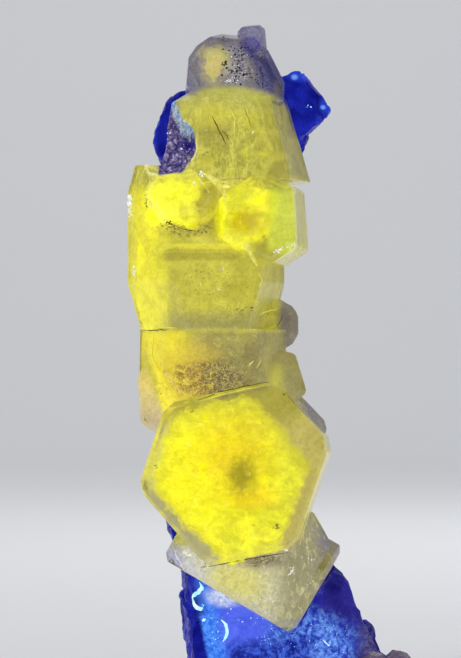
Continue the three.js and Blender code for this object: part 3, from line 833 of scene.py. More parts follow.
def dull_heart_finish():
    """The olive body under the clear surface, with every crystal's own zone of colour."""
    finish = Finish("dull_heart", Roughness=0.6, IOR=1.4, Specular_IOR_Level=0.1, Emission_Strength=1.0)
    place, x, y, z, zone = finish.place, finish.x, finish.y, finish.z, finish.zone
    cloud = place.cloud(0.45, 8.0, 0.66, 0.3, 2.0)
    fluff = place.cloud(1.7, 7.0, 0.7, 0.7, 11.0)
    fine = place.cloud(3.6, 5.0, 0.7, 0.3, 17.0)
    ragged = finish.ragged = fluff * 1.2 - 0.6
    drum = z.rise(37.5, 38.2) * z.fall(51, 53)
    along_ledge = x.rise(-11.0, -9.6) * x.fall(-3.0, -2.2)
    colour = layered(
        cloud.blend(0.38, 0.62, (184, 178, 40), (208, 202, 62)),
        # the drum's right side, foot, left side, oblique facet and far left
        ((x + ragged * 1.6).rise(-2.6, 0.6) * 0.9, 160, 155, 24),
        (drum * (z + ragged * 0.8).fall(38.6, 40.4) * (x + ragged).rise(-12.2, -10.2), 156, 150, 74),
        ((x + ragged * 2).fall(-11.4, -8.8) * drum, cloud.blend(0.4, 0.6, (238, 232, 30), (255, 250, 20))),
        (x.rise(-0.9, -0.2) * drum * 0.8, cloud.blend(0.4, 0.6, (150, 145, 10), (176, 170, 30))),
        ((x + ragged * 0.4).fall(-13.3, -12.7) * drum * 0.7, 214, 208, 100),
        # its ledge: a painted highlight strip over a painted shadow strip
        ((z + ragged * 0.12).rise(45.4, 45.8) * z.fall(46.2, 46.6) * along_ledge * 0.85, 230, 226, 72),
        (z.rise(44.5, 44.9) * (z + ragged * 0.12).fall(45.3, 45.6) * along_ledge * 0.8, 164, 156, 0),
        (zone((-1.0, -6, 44.6), (2.0, 5, 1.4), 0.4) * 0.6, 186, 182, 40),
        (z.rise(46.8, 47.3) * z.fall(48.6, 49.6) * x.rise(-11, -8) * 0.7, 176, 168, 40),
    )
    wedge = zone((-5.7, -6, 50.6), (1.5, 5, 2.7), 0.35) * z.fall(52.6, 53.4)
    strokes = place.stretched(1.5, 0.5).cloud(1.2, 7.0, 0.72, 1.2, 5.0)
    barrel = z.rise(51.4, 53.0)
    barrel_colour = layered(
        strokes.blend(0.4, 0.62, (168, 164, 52), (218, 214, 96)),
        (cloud.rise(0.48, 0.64) * 0.6, 222, 217, 50),
        ((z + ragged * 1.6).rise(58.6, 61.4) * 0.6, 190, 194, 112),
    )
    grey = (x + ragged * 1.5).rise(-0.4, 2.6) * barrel
    colour = layered(
        colour,
        (wedge * 0.9, cloud.blend(0.4, 0.6, (158, 149, 20), (184, 174, 34))),
        (barrel, barrel_colour),
        (grey * 0.85, cloud.blend(0.4, 0.6, (140, 134, 88), (170, 166, 96))),
        # the barrel's cleft, and the light patch over it
        (zone((-5.0, -6, 57.3), (1.1, 4, 1.9), 0.8) * 0.55, 140, 132, 60),
        (zone((-5.6, -6, 59.0), (1.6, 4, 1.2), 0.5) * barrel * 0.7, 222, 216, 70),
    )
    streaks = place.stretched(2.4, 0.7).cloud(1.0, 6.0, 0.7, 0.6, 41.0)
    low_colour = layered(
        fluff.blend(0.35, 0.65, (188, 185, 160), (212, 210, 190)),
        ((x + ragged).rise(-0.2, 2.6) * 0.9, 136, 131, 110),
        ((x + z * 0.9 + ragged).fall(5.0, 8.0), 198, 202, 238),
        ((x + ragged * 0.8).rise(3.8, 5.8) * 0.8, 122, 116, 132),
        (streaks.rise(0.52, 0.62) * 0.5, 226, 222, 176),
        (zone((-3.4, -6, 12.8), (2.8, 5, 1.9), 0.6) * 0.7, 222, 216, 108),
        (zone((-0.7, -5, 14.9), (3.0, 5, 0.9), 0.5) * fluff.rise(0.42, 0.56) * 0.8, 96, 82, 84),
    )
    colour = (z - x * 0.25).fall(17.6, 19.2).pick(colour, low_colour)
    # the band, with a rust-brown lace and gold threads at its foot
    swirl = place.cloud(0.8, 6.0, 0.7, 2.2, 23.0)
    rust = zone((-6.0, -6.5, 32.9), (3.9, 4, 1.9), 0.35)
    lace = place.cloud(1.9, 8.0, 0.78, 1.0, 61.0) + (x + z * 0.3).rise(0.4, 4.6) * 0.07
    gold_threads = (place.cloud(1.3, 5.0, 0.7, 1.6, 71.0) - 0.5).size().fall(0.0, 0.03)
    browns = (x + ragged * 1.4).blend(-7.4, -5.2, (142, 94, 16), (72, 46, 54))
    band_colour = layered(
        cloud.blend(0.4, 0.6, (132, 124, 76), (164, 156, 84)),
        (swirl.rise(0.54, 0.62) * 0.6, 196, 188, 92),
        ((x + ragged * 1.4).rise(-1.6, 0.8) * 0.7, 134, 127, 84),
        ((x + ragged * 1.8).fall(-9.6, -6.4), 252, 238, 20),
        ((x + (z - 31) * 0.25 + ragged * 0.5).fall(-11.0, -10.2) * 0.8, 196, 190, 50),
        (zone((-7.6, -6.5, 33.6), (3.0, 4, 3.0), 0.5) * 0.7, 224, 198, 40),
        (zone((1.0, -4, 32.4), (1.1, 4, 1.9), 0.5) * 0.55, 214, 212, 60),
        (rust * lace.rise(0.5, 0.53) * 0.95, browns),
        (rust * gold_threads * 0.85, 240, 222, 110),
    )
    # the crystals behind on the right, and the bulge on the left
    lobe = place.patch((2.0, 0, 38.2), (2.4, 5.4, 2.9), 0.3) * x.rise(0.6, 1.6)
    rear = place.patch((2.9, 0, 32.4), (1.8, 5.4, 3.2), 0.4) * y.rise(-6.4, -5.6) * x.rise(-1.4, -0.4)
    bulge = (x + (z - 31) * 0.35 + ragged * 0.2).fall(-11.4, -10.6) * z.fall(34.2, 35.2) * z.rise(26, 27)
    colour = layered(
        colour,
        (z.rise(28, 30) * (z + ragged * 0.1).fall(37.3, 37.9), band_colour),
        (lobe, 94, 84, 96),
        (rear, 146, 138, 92),
        (bulge, z.blend(28, 33, (196, 178, 156), (230, 208, 112))),
    )
    crown = crown_zone(finish, 0.8, 61.5)
    grains = place.cloud(2.6, 8.0, 0.78, 1.2, 37.0)
    pepper = zone((-3.0, -4, 64.4), (1.5, 5, 2.3), 0.35)
    flank = (x + (z - 62) * 0.5 + ragged * 0.3).rise(-0.9, 0.1)
    crown_colour = layered(
        fluff.blend(0.35, 0.65, (92, 90, 118), (126, 122, 134)),
        (zone((-4.2, -4, 64.4), (3.6, 5, 2.9), 0.35, 0.7) * 0.9, 138, 133, 112),
        (pepper * 0.8, 210, 202, 172),
        (pepper * grains.fall(0.42, 0.48), 22, 20, 28),
        (zone((-1.6, -4, 64.0), (0.6, 5, 1.9), 0.6, 0.6) * 0.8, 166, 160, 108),
        (flank, grains.blend(0.42, 0.5, (22, 18, 74), (60, 56, 106))),
    )
    shoulder = (x + z * 0.28 + ragged * 0.35).rise(17.5, 18.6) * barrel * (1 - crown)
    # the deep rim of the front plate
    rim = (y + x * 0.08).fall(-7.2, -6.9) * z.fall(34, 35) * z.rise(13.0, 13.6)
    rim_colour = layered(
        cloud.blend(0.35, 0.65, (194, 182, 108), (216, 204, 132)),
        ((x + ragged).fall(-10.6, -8.8) * z.rise(20.5, 22), 248, 246, 124),
        (z.rise(27.6, 29.8) * 0.9, 176, 168, 48),
        ((x + z * 1.1 + ragged).fall(11.5, 14.5) * 0.9, 184, 181, 170),
    )
    green = x.rise(-0.4, 0.4) * (x + ragged * 0.3).fall(2.0, 2.5) * z.rise(45.0, 46.4)
    green = green * (z + ragged * 0.5).fall(51.0, 52.2) * y.fall(-6.0, -5.4)
    pinpricks = place.cloud(5.2, 3.0, 0.6, 0.0, 51.0).fall(0.28, 0.34) * drum
    colour = layered(
        colour,
        (crown, crown_colour),
        (shoulder * 0.8, 112, 106, 110),
        (rim, rim_colour),
        (green * 0.9, 224, 238, 84),
        # dark threads under the bud
        (zone((-8.2, -6, 47.95), (2.3, 5, 0.8), 0.4) * fine.fall(0.44, 0.5) * 0.85, 96, 76, 30),
        (pinpricks * 0.6, 130, 122, 10),
    )
    finish.glow(colour.mottled(fine, 0.13).mottled(fluff, 0.14), 0.4, 0.82)
    finish.feed("Alpha", 1 - clear_strip(finish))
    finish.relief(fluff, 0.2)
    return finish


def clear_finish():
    """See-through crystal that swallows blue light, so its rims look olive."""
    finish = Finish(
        "clear_apatite", Transmission_Weight=1.0, IOR=1.63, Roughness=0.15, Emission_Strength=1.0,
    )
    place, x, y, z, zone = finish.place, finish.x, finish.y, finish.z, finish.zone
    cloud = place.cloud(0.5, 5.0, 0.6, 0.2, 4.0)
    grain = place.cloud(3.5, 4.0, 0.65, 0.0, 9.0)
    ragged = finish.ragged = grain * 0.8 - 0.4
    highlit_edges = finish.highlit_edges() * grain.rise(0.3, 0.55)
    crown = crown_zone(finish, 0.5, 61.6)
    lower_left = zone((-9.2, -2, 15.6), (1.7, 4.5, 2.0), 0.3)
    lower_right = zone((6.4, -1.2, 16.3), (1.8, 4.5, 2.0), 0.6) * 0.7
    edge_right = (x + z * 0.12).rise(10.2, 10.9) * z.rise(49.5, 52.0)
    violet = crown.over(clear_strip(finish)).over(lower_left).over(lower_right).over(edge_right)
    warm = zone((-5.6, -4, 64.0), (1.9, 5, 2.2), 0.5)
    flank = (x + z * 0.29 + ragged * 0.9).rise(16.8, 18.4) * z.rise(52.6, 53.4) * (1 - crown)
    crown_flank = (x + (z - 62) * 0.5 + ragged * 0.5).rise(0.1, 1.1) * crown * z.fall(64.4, 65.4)
    knob_hole = zone((-1.75, -3.5, 66.25), (1.1, 2.5, 0.95), 0.35)
    tint = layered(
        cloud.rise(0.3, 0.7).pick((0.93, 0.91, 0.78, 1), (0.98, 0.97, 0.88, 1)),
        (violet * (1 - warm * 0.8), (0.25, 0.25, 0.45, 1)),
        (flank, (0.5, 0.47, 0.64, 1)),
        (crown_flank, (0.07, 0.07, 0.3, 1)),
        (knob_hole, (0.1, 0.09, 0.34, 1)),
    )
    core = place.patch((-4.2, -6, 23.0), (8.0, 6, 7.4), 0.25)
    glow = layered(
        cloud.rise(0.3, 0.7).pick((0.06, 0.055, 0.018, 1), (0.09, 0.082, 0.03, 1)),
        (core, (0.02, 0.018, 0.0, 1)),
        (violet, grain.rise(0.35, 0.65).pick((0.03, 0.028, 0.075, 1), (0.09, 0.085, 0.15, 1))),
        # painted highlight: a pale glow on the outward edges
        (highlit_edges * 0.9, violet.pick((0.62, 0.6, 0.36, 1), (0.14, 0.13, 0.23, 1))),
        (crown_flank, (0.02, 0.018, 0.07, 1)),
        (knob_hole, (0.012, 0.01, 0.09, 1)),
    )
    polish = core.over(place.patch((-6.0, -7, 32.9), (4.2, 4, 2.3), 0.3))
    finish.feed("Base Color", tint)
    finish.feed("Emission Color", glow)
    finish.feed("Roughness", (grain.rise(0.4, 0.7) * 0.16 + 0.12) * (1 - polish * 0.6) + highlit_edges * 0.2)
    finish.relief(grain * 0.6 + cloud, 0.05)
    body = finish.tree.nodes.new("ShaderNodeVolumeAbsorption")
    body.inputs["Color"].default_value = (0.71, 0.68, 0.15, 1)
    body.inputs["Density"].default_value = 300.0
    finish.tree.links.new(body.outputs[0], finish.output.inputs["Volume"])
    # The broken side is etched: a rough violet surface that hides what is behind it.
    upper = (x + z * 0.41 + ragged * 0.3).fall(15.4, 15.8)
    under = (x - z * 0.5 + ragged * 0.3).fall(-35.4, -35.0)
    away = upper * under * z.rise(53.2, 53.5) * z.fall(60.8, 61.3) * y.fall(-1.0, 0.5)
    away = away.over(zone(BROKEN_AT, [size * 1.05 for size in BROKEN_HALF], 0.04, 0.1))
    away = away.over(zone((-8.4, -3.2, 56.1), (1.5, 2.3, 1.4), 0.1, 0.1))
    away = away * x.rise(-11.1, -10.8).over(z.rise(54.5, 54.7))
    sparkle = place.cells(3.0).fall(0.14, 0.3)
    pits = place.stretched(1.0, 0.8).cloud(2.4, 6.0, 0.75, 0.5, 31.0)
    rim = (x + z * 0.41 + ragged * 0.5).rise(14.6, 15.2) * z.rise(56.8, 57.6)
    skin = layered(
        pits.blend(0.4, 0.62, (38, 28, 84), (128, 116, 166)),
        (pits.rise(0.56, 0.64) * 0.8, 186, 176, 214),
        (zone((-8.1, -4, 56.3), (1.2, 4, 0.6), 0.3, 0.4), 22, 12, 112),
        (sparkle * pits.rise(0.45, 0.6), 214, 206, 236),
        (rim * 0.7, pits.blend(0.4, 0.6, (90, 140, 200), (200, 220, 214))),
    )
    etched = finish.tree.nodes.new("ShaderNodeBsdfPrincipled")
    etched.inputs["Roughness"].default_value = 0.35
    etched.inputs["Emission Strength"].default_value = 1.0
    for socket, value in (
        ("Base Color", skin.tinted(0.5)),
        ("Emission Color", skin.tinted(0.65)),
        ("Normal", pits.make("ShaderNodeBump", {}, {"Height": pits, "Distance": 0.25 * MM})),
    ):
        finish.tree.links.new(value.socket, etched.inputs[socket])
    both = away.make("ShaderNodeMixShader", {}, {0: away})
    mixer = both.socket.node
    finish.tree.links.new(finish.shader.outputs[0], mixer.inputs[1])
    finish.tree.links.new(etched.outputs[0], mixer.inputs[2])
    finish.tree.links.new(both.socket, finish.output.inputs["Surface"])
    return finish


def matrix_finish():
    """Glowing blue rock: deep in the lobes, azure and sugary on the foot, violet on its right."""
    finish = Finish(
        "blue_matrix", IOR=1.45, Emission_Strength=1.0, Coat_Weight=0.04, Coat_Roughness=0.1,
        Specular_IOR_Level=0.12,
    )
    place, x, y, z, zone = finish.place, finish.x, finish.y, finish.z, finish.zone
    cloud = place.cloud(0.22, 7.0, 0.6, 0.4, 1.0)
    grain = place.cloud(2.2, 6.0, 0.68, 0.4, 6.0)
    crumbs = place.cloud(1.3, 8.0, 0.75, 0.4, 15.0)
    swirls = place.cloud(0.16, 8.0, 0.66, 1.4, 27.0)
    ragged = finish.ragged = grain * 1.2 - 0.6
    facing = (y + ragged * 1.2).fall(-3.0, -1.2)
    deep = cloud.blend(0.38, 0.66, (6, 8, 118), (24, 36, 170))
    behind = layered(
        deep,
        (swirls.rise(0.5, 0.62) * crumbs.rise(0.4, 0.56), 36, 72, 214),
        (swirls.fall(0.34, 0.42) * 0.8, 34, 22, 104),
    )
    # The foot: a dark strip on the left, then azure, blue and lavender, and violet on the right.
    front = (x + z * 0.22 + ragged * 0.3).rise(-5.1, -4.6) * (x + ragged).fall(-0.4, 2.4)
    front_colour = layered(
        cloud.blend(0.38, 0.6, (58, 84, 226), (92, 112, 246)),
        (
            (x + z * 0.25 + ragged * 0.8).fall(-3.6, -1.8),
            grain.blend(0.35, 0.65, (40, 110, 236), (88, 150, 252)),
        ),
    )
    frost = zone((4.3, -5, 6.4), (4.4, 4, 3.6), 0.3, 0.8) * facing
    frosted = layered(
        crumbs.blend(0.4, 0.6, (40, 66, 190), (112, 160, 246)),
        (crumbs.rise(0.57, 0.66) * 0.8, 140, 190, 255),
    )
    dark_foot = (z + ragged * 0.8 - (x + 5) * 0.12).fall(5.6, 7.0) * x.rise(-4.6, -3.4)
    dark_foot = dark_foot * x.fall(3.4, 5.0) * facing
    # Pale rims and spots of the lobes.
    top = zone((3.4, 0, 63.5), (1.5, 6, 0.6), 0.6, 0.5)
    tip = zone((5.9, 0, 60.6), (0.6, 6, 0.9), 0.6, 0.5)
    bulge = zone((-11.8, 0, 56.6), (0.6, 6, 3.4), 0.7, 0.5)
    eyes = zone((2.7, 0, 63.3), (0.3, 6, 0.25), 0.6, 0.5)
    eyes = eyes.over(zone((5.6, 0, 60.3), (0.25, 6, 0.22), 0.6, 0.5))
    highlit_edges = finish.highlit_edges() * grain.rise(0.35, 0.6)
    colour = layered(
        deep,
        ((y + ragged).rise(0.5, 2.0) * 0.75, behind),
        (x.rise(4.0, 6.0) * z.fall(20, 26), cloud.blend(0.4, 0.6, (18, 14, 100), (44, 38, 138))),
        (zone((10.8, -3, 6.4), (2.0, 4, 2.4), 0.5), grain.blend(0.4, 0.6, (56, 52, 112), (92, 84, 132))),
        (front * z.fall(13, 14) * facing, front_colour),
        (frost * crumbs.rise(0.3, 0.46), frosted),
        (dark_foot * 0.9, crumbs.blend(0.44, 0.62, (14, 24, 130), (66, 100, 220))),
        (
            zone((-4.2, -5, 11.2), (2.4, 4, 1.1), 0.35, 0.4),
            grain.blend(0.4, 0.6, (176, 190, 242), (222, 232, 250)),
        ),
        (top.over(tip).over(bulge * 0.5) * 0.6, 44, 76, 220),
        (eyes * 0.85, 120, 170, 255),
        # painted highlight: lighter blue on the outward edges
        (highlit_edges * 0.35, 70, 92, 226),
    )
    finish.glow(colour.mottled(grain, 0.12), 0.2, 0.85)
    finish.feed("Roughness", grain.rise(0.4, 0.7) * 0.35 + 0.15 + frost * 0.3)
    finish.relief(grain + frost * crumbs * 2, 0.15)
    return finish


def pink_finish():
    finish = Finish("pink_crystal", IOR=1.5, Roughness=0.35)
    grain = finish.place.cloud(1.5, 5.0, 0.65, 0.4, 6.0)
    colour = grain.blend(0.35, 0.68, (96, 84, 116), (142, 130, 140))
    # painted highlight: pale pink-grey on the outward edges
    finish.feed("Base Color", layered(colour, (finish.highlit_edges() * 0.7, 196, 186, 196)))
    finish.relief(grain, 0.12)
    return finish


def speck_finish(name, dark, light):
    """Dark grains, crack lines and painted shadow lines, between two colours."""
    finish = Finish(name, Roughness=0.6, Specular_IOR_Level=0.1, Emission_Strength=1.0)
    finish.glow(finish.place.cloud(2.0, 3.0).blend(0.35, 0.65, dark, light), 0.4, 0.6)
    return finish


def pale_finish(name, dark, light, given_off):
    """Pale lines and flecks on the surface that give off some light, between two colours; the white lines,
    pale sparkles, rock strokes and rock sparks among them are painted highlights.
    """
    finish = Finish(name, Roughness=0.25, Emission_Strength=1.0)
    finish.glow(finish.place.cloud(2.0, 3.0).blend(0.35, 0.65, dark, light), 0.5, given_off)
    return finish


# ---- Assembly ----

shell = clear_apatite()
bright = heart(
    "bright_hearts", BRIGHT, BRIGHT_LUMPS, 0.4, (0.5, 0.42, 6.0), (0.3, 1.3, 1.0), (0.1, 3.5, 2.0),
)
inner_haze = haze(bright, "inner_haze", 0.2, (0.25, 1.1, 12.0), (0.12, 3.0, 3.0))
outer_haze = haze(bright, "outer_haze", 0.42, (0.35, 0.8, 22.0), (0.15, 2.6, 5.0))
dull = heart("dull_hearts", DULL, [], 0.8, (0.12, 0.5, 9.0), (0.06, 1.7, 4.0))
# Dark lines on the clear crystal: cracks, and a painted shadow line under the front plate.
CRACKS_AND_SHADOW_LINES = [
    # the plate's upper edge, its lower edge, where the line is a painted shadow, and its upper right edge
    ([(-7.0, 30.9), (-4.6, 31.7), (-2.4, 32.2), (0.0, 32.6)], 0.09),
    ([(-6.0, 14.35), (-3.6, 14.75), (-0.6, 15.35), (2.0, 15.7)], 0.09),
    ([(1.4, 31.9), (2.6, 30.5), (4.4, 28.7)], 0.06),
    # the barrel's cleft
    ([(-5.6, 59.0), (-4.9, 57.6), (-4.2, 56.2)], 0.1),
    ([(-4.6, 57.6), (-4.2, 57.2), (-3.9, 56.6)], 0.07),
    ([(-2.4, 60.0), (-2.0, 58.9), (-1.7, 57.9)], 0.05),
    # round the bud
    ([(-9.6, 48.3), (-8.2, 47.8), (-6.8, 47.5)], 0.06),
    # the foot of the drum
    ([(-12.6, 37.75), (-11.2, 37.8), (-9.8, 37.85)], 0.08),
    ([(0.9, 38.0), (1.2, 38.6), (1.5, 39.4)], 0.06),
    # the bulge beside the band
    ([(-11.4, 37.6), (-11.6, 35.4), (-10.8, 33.6)], 0.03),
]
RIDGES = [
    ([(-6.5, 53.3), (-5.4, 52.6), (-4.5, 51.6), (-4.2, 50.8)], 0.44),
    ([(-2.2, 46.4), (-1.8, 45.4), (-1.1, 44.2)], 0.34),
    ([(-3.8, 59.8), (-3.3, 58.8), (-3.4, 57.6), (-3.3, 56.6)], 0.08),
    ([(-0.9, 39.3), (0.0, 39.7), (1.0, 39.9)], 0.08),
    ([(4.2, 21.4), (3.9, 19.0), (3.1, 16.4)], 0.07),
    ([(-2.0, 34.2), (-1.7, 34.5), (-1.4, 34.8)], 0.1),
    ([(-1.2, 34.0), (-0.9, 34.4), (-0.7, 34.9)], 0.08),
    ([(-7.2, 30.6), (-5.0, 31.3), (-2.8, 31.8), (-0.4, 32.3)], 0.05),
    ([(-1.0, 43.6), (-0.6, 42.8), (-0.9, 42.0)], 0.1),
    ([(-6.8, 42.6), (-6.6, 41.9)], 0.08),
    ([(-3.0, 40.0), (-2.9, 40.5)], 0.1),
    ([(3.6, 46.4), (3.0, 45.6), (2.6, 45.2)], 0.14),
]
# Pale lines that are painted glints: (points, width) for each.
WHITE_LINES = [
    ([(1.9, 13.4), (2.4, 13.9), (2.5, 14.3)], 0.12),
    ([(-9.4, 16.0), (-8.8, 14.8), (-8.4, 14.0)], 0.08),
]
# Fields of flecks: x, z, half width, half height, lean, count, size, depth under the surface.
DARK_FIELDS = [
    (-9.9, 48.3, 0.8, 0.35, -14, 44, 0.12, 0.05),
    (-12.1, 50.6, 0.15, 1.3, 0, 22, 0.1, 0.05),
    (-11.6, 52.6, 0.5, 0.25, 30, 10, 0.1, 0.05),
    (-7.0, 47.6, 1.3, 0.3, -10, 16, 0.1, 0.1),
    (-3.4, 39.5, 1.6, 0.7, 0, 22, 0.09, 0.2),
    (-1.2, 39.8, 1.6, 0.8, 0, 12, 0.1, 0.2),
    (-6.8, 43.5, 1.8, 0.5, 4, 16, 0.07, 0.2),
    (-3.2, 42.0, 2.8, 2.0, 0, 20, 0.07, 0.3),
    (-8.0, 41.5, 2.8, 2.6, 0, 22, 0.06, 0.3),
    (-6.0, 33.0, 2.8, 1.2, 12, 50, 0.1, 0.3),
    (-0.8, 14.9, 1.9, 0.5, 8, 60, 0.12, 0.1),
    (-6.6, 14.2, 1.6, 0.3, 10, 14, 0.09, 0.1),
    (1.6, 31.4, 0.5, 0.4, 0, 8, 0.11, 0.1),
    (0.8, 18.4, 0.4, 0.25, 20, 9, 0.12, 0.2),
    (-7.6, 29.8, 0.6, 0.2, 0, 6, 0.1, 0.2),
    (-11.0, 24.4, 0.2, 0.3, 0, 4, 0.1, 0.2),
    (-3.2, 52.6, 2.2, 0.6, 20, 14, 0.08, 0.2),
    (-6.0, 56.0, 2.4, 2.4, 0, 22, 0.06, 0.3),
]
BLACK_FIELDS = [
    (-3.1, 64.9, 1.5, 2.1, 0, 84, 0.12, 0.02),
    (-2.9, 63.3, 1.4, 1.1, 0, 42, 0.12, 0.02),
    (-0.7, 64.4, 0.5, 1.8, -12, 26, 0.12, 0.02),
    (-4.4, 64.2, 0.5, 0.5, 0, 12, 0.12, 0.02),
    (-0.6, 62.2, 1.2, 0.2, -30, 14, 0.1, 0.02),
]
# Fields of pale sparkles, which are painted glints.
PALE_FIELDS = [
    (-3.1, 64.2, 1.1, 1.5, 0, 50, 0.05),
    (-3.4, 62.7, 1.4, 0.3, 8, 26, 0.09),
    (-6.6, 53.1, 0.2, 0.3, 0, 5, 0.14),
    (-7.3, 52.3, 0.2, 0.2, 0, 4, 0.13),
    (0.9, 45.6, 0.4, 0.4, 20, 12, 0.12),
    (2.2, 46.2, 0.8, 0.6, 30, 14, 0.09),
    (-1.5, 57.4, 0.12, 0.2, 0, 4, 0.13),
    (-8.7, 55.9, 0.1, 0.15, 0, 4, 0.14),
    (-9.9, 57.6, 0.3, 0.3, 0, 3, 0.08),
    (-4.5, 43.8, 0.1, 0.15, 0, 3, 0.1),
    (-4.9, 41.8, 0.1, 0.15, 0, 3, 0.1),
    (-13.8, 50.4, 0.2, 1.1, 0, 40, 0.17),
    (-13.4, 43.6, 0.25, 0.6, 0, 14, 0.14),
    (-1.0, 11.2, 3.0, 0.7, 4, 26, 0.08),
    (-2.6, 9.9, 3.4, 0.2, -29, 24, 0.07),
    (3.2, 11.4, 0.15, 2.6, -38, 18, 0.06),
    (1.7, 16.1, 0.2, 0.2, 0, 5, 0.16),
    (2.2, 13.8, 0.5, 0.4, 45, 7, 0.09),
    (4.2, 15.0, 0.4, 0.3, 30, 5, 0.09),
    (-8.6, 15.2, 1.0, 0.8, 0, 12, 0.09),
    (4.0, 15.0, 2.0, 1.6, 0, 12, 0.06),
    (-6.5, 14.2, 1.2, 0.5, 0, 9, 0.09),
    (-11.0, 18.0, 1.4, 1.2, -45, 14, 0.07),
    (0.0, 9.6, 0.9, 0.5, 0, 8, 0.09),
    (-6.6, 58.0, 1.0, 1.2, 0, 8, 0.05),
    (2.0, 55.0, 1.0, 2.5, 0, 10, 0.05),
]
# Pale strokes on the blue foot, which are painted highlights: (points, width) for each.
PAINTED_HIGHLIGHT_STROKES = [
    ([(-6.8, 12.5), (-6.5, 12.1), (-6.9, 11.6), (-7.3, 11.2), (-7.6, 11.0)], 0.42),
    ([(-7.6, 11.0), (-7.4, 10.4), (-7.0, 9.9), (-6.6, 9.8), (-6.4, 10.2)], 0.4),
    ([(-4.7, 8.9), (-4.2, 8.4), (-4.0, 7.8), (-4.2, 7.2), (-4.5, 6.7)], 0.3),
    ([(-6.3, 8.9), (-6.5, 8.7)], 0.25),
    ([(5.4, 7.0), (5.8, 6.6), (6.1, 6.4), (6.2, 6.9)], 0.1),
]
# Fields of pale sparks on the rock, which are painted glints.
ROCK_SPARKS = [
    (-3.0, 9.4, 3.6, 0.8, -20, 16, 0.07),
    (-5.4, 7.6, 0.9, 1.6, 0, 14, 0.07),
    (1.0, 7.0, 3.4, 0.9, 0, 30, 0.06),
    (5.6, 7.0, 2.6, 1.8, 0, 40, 0.06),
    (4.2, 60.4, 0.3, 0.2, 0, 3, 0.08),
]
clear_surface = surface_of(shell)
cracks_and_shadow_lines = slivers("crack_and_shadow_lines", clear_surface, CRACKS_AND_SHADOW_LINES)
ridges = slivers("yellow_ridges", clear_surface, RIDGES)
white_lines = slivers("white_lines", clear_surface, WHITE_LINES)
specks = flecks("dark_specks", clear_surface, DARK_FIELDS)
grains = flecks("black_grains", clear_surface, BLACK_FIELDS)
sparkles = flecks("pale_sparkles", clear_surface, PALE_FIELDS)
# dark cracks and specks, and the painted shadow line under the front plate
speck_finish("dark_inclusion_and_shadow", (70, 58, 14), (120, 104, 30)).put_on(cracks_and_shadow_lines, specks)
speck_finish("black_inclusion", (16, 14, 22), (50, 46, 56)).put_on(grains)
pale_finish("yellow_ridge", (216, 210, 92), (240, 236, 120), 0.6).put_on(ridges)
# pale lines and sparkles: painted glints
pale_finish("painted_glint", (222, 222, 214), (255, 255, 255), 0.6).put_on(white_lines, sparkles)
clear_finish().put_on(shell)
bright_heart_finish("bright_heart").put_on(bright)
bright_heart_finish("heart_haze", 0.62).put_on(inner_haze, outer_haze)
dull_heart_finish().put_on(dull)
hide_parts("apatite_crystals")
hearts = [bright, inner_haze, outer_haze, dull]
for piece in (shell, *hearts, cracks_and_shadow_lines, ridges, white_lines, specks, grains, sparkles):
    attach(piece, "root")

matrix = dressed_copy("blue_matrix", "dressed_matrix", 0.8, 10, (0.5, 0.3, 3.0), (0.2, 1.1, 7.0))
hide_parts("blue_matrix")
pink = dressed_copy("pink_crystals", "dressed_pink", 0.4, 1, (0.14, 0.5, 5.0), (0.06, 1.6, 2.0))
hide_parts("pink_crystals")
rock_surface = surface_of(matrix)
# painted highlights on the rock: pale strokes and sparks that give off light
strokes = slivers("painted_highlight_strokes", rock_surface, PAINTED_HIGHLIGHT_STROKES)
rock_sparks = flecks("rock_sparks", rock_surface, ROCK_SPARKS)
pale_finish("azure_painted_highlight", (150, 240, 248), (235, 255, 255), 0.8).put_on(strokes, rock_sparks)
matrix_finish().put_on(matrix)
pink_finish().put_on(pink)
for piece in (matrix, pink, strokes, rock_sparks):
    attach(piece, "root")

# ---- Stage, light and camera ----

FRAME_UP = 658
PIXEL = 0.1 * MM
LENS, SENSOR = 250, 36
VIEW_CENTRE = Vector((-3.75, -3.0, 37.9)) * MM
FLOOR_SIZE, FLOOR_AT = (4.0, 3.6, 1), (0, -0.6, 0)
WALL_HEIGHT, WALL_CURVE = 1.6, 0.35
SKY_COLOUR, SKY_STRENGTH = (0.9, 0.93, 1.0, 1), 0.26


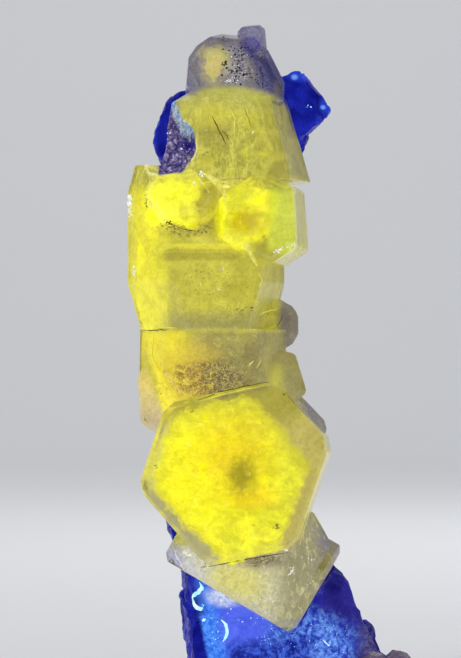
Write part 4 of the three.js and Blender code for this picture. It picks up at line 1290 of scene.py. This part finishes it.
def stage():
    """A pale floor that curves up behind the cluster."""
    bpy.ops.mesh.primitive_plane_add(size=1)
    floor = bpy.context.object
    floor.name = "pale_floor"
    floor.scale = FLOOR_SIZE
    floor.location = FLOOR_AT
    settle(floor)
    edit(floor, "EDGE")
    choose("DESELECT")
    bpy.ops.object.mode_set(mode="OBJECT")
    far = max(point.co.y for point in floor.data.vertices)
    for line in floor.data.edges:
        line.select = all(floor.data.vertices[i].co.y > far - 1e-6 for i in line.vertices)
    bpy.ops.object.mode_set(mode="EDIT")
    bpy.ops.mesh.extrude_region_move(TRANSFORM_OT_translate={"value": (0, 0, WALL_HEIGHT)})
    choose()
    deselect()
    modify(floor, "BEVEL", width=WALL_CURVE, segments=16, limit_method="ANGLE")
    smooth(floor, 40)
    finish = Finish("pale_paint", Roughness=0.9)
    mottle = finish.place.cloud(0.004, 3.0)
    finish.feed("Base Color", mottle.pick((0.78, 0.79, 0.8, 1), (0.82, 0.82, 0.83, 1)))
    finish.put_on(floor)


def softbox(name, at, size, power, target=VIEW_CENTRE):
    """A square soft light that faces its target, and doesn't show in gloss."""
    bpy.ops.object.light_add(type="AREA", location=at)
    light = bpy.context.object
    light.name = name
    light.data.size = size
    light.data.energy = power
    light.visible_glossy = False
    light.visible_transmission = False
    light.rotation_euler = (Vector(target) - Vector(at)).to_track_quat("-Z", "Y").to_euler()


def camera():
    away = LENS / SENSOR * FRAME_UP * PIXEL
    bpy.ops.object.camera_add(
        location=VIEW_CENTRE - Vector((0, away, 0)), rotation=(math.pi / 2, 0, 0),
    )
    made = bpy.context.object
    made.data.lens = LENS
    made.data.sensor_width = SENSOR
    made.data.clip_start = 0.02
    bpy.context.scene.camera = made


stage()
softbox("key", (-0.35, -0.45, 0.5), 0.3, 2.2)
softbox("fill", (0.45, -0.5, 0.2), 0.4, 0.8)
softbox("back", (0.15, 0.35, 0.4), 0.3, 1.0)
softbox("wall_wash", (0, 0.7, 0.9), 0.6, 3.2, target=(0, 1.2, 0.25))
camera()
world = bpy.data.worlds.new("soft_studio")
bpy.context.scene.world = world
world.use_nodes = True
sky = world.node_tree.nodes["Background"]
sky.inputs["Color"].default_value = SKY_COLOUR
sky.inputs["Strength"].default_value = SKY_STRENGTH
bpy.context.scene.view_settings.view_transform = "Standard"
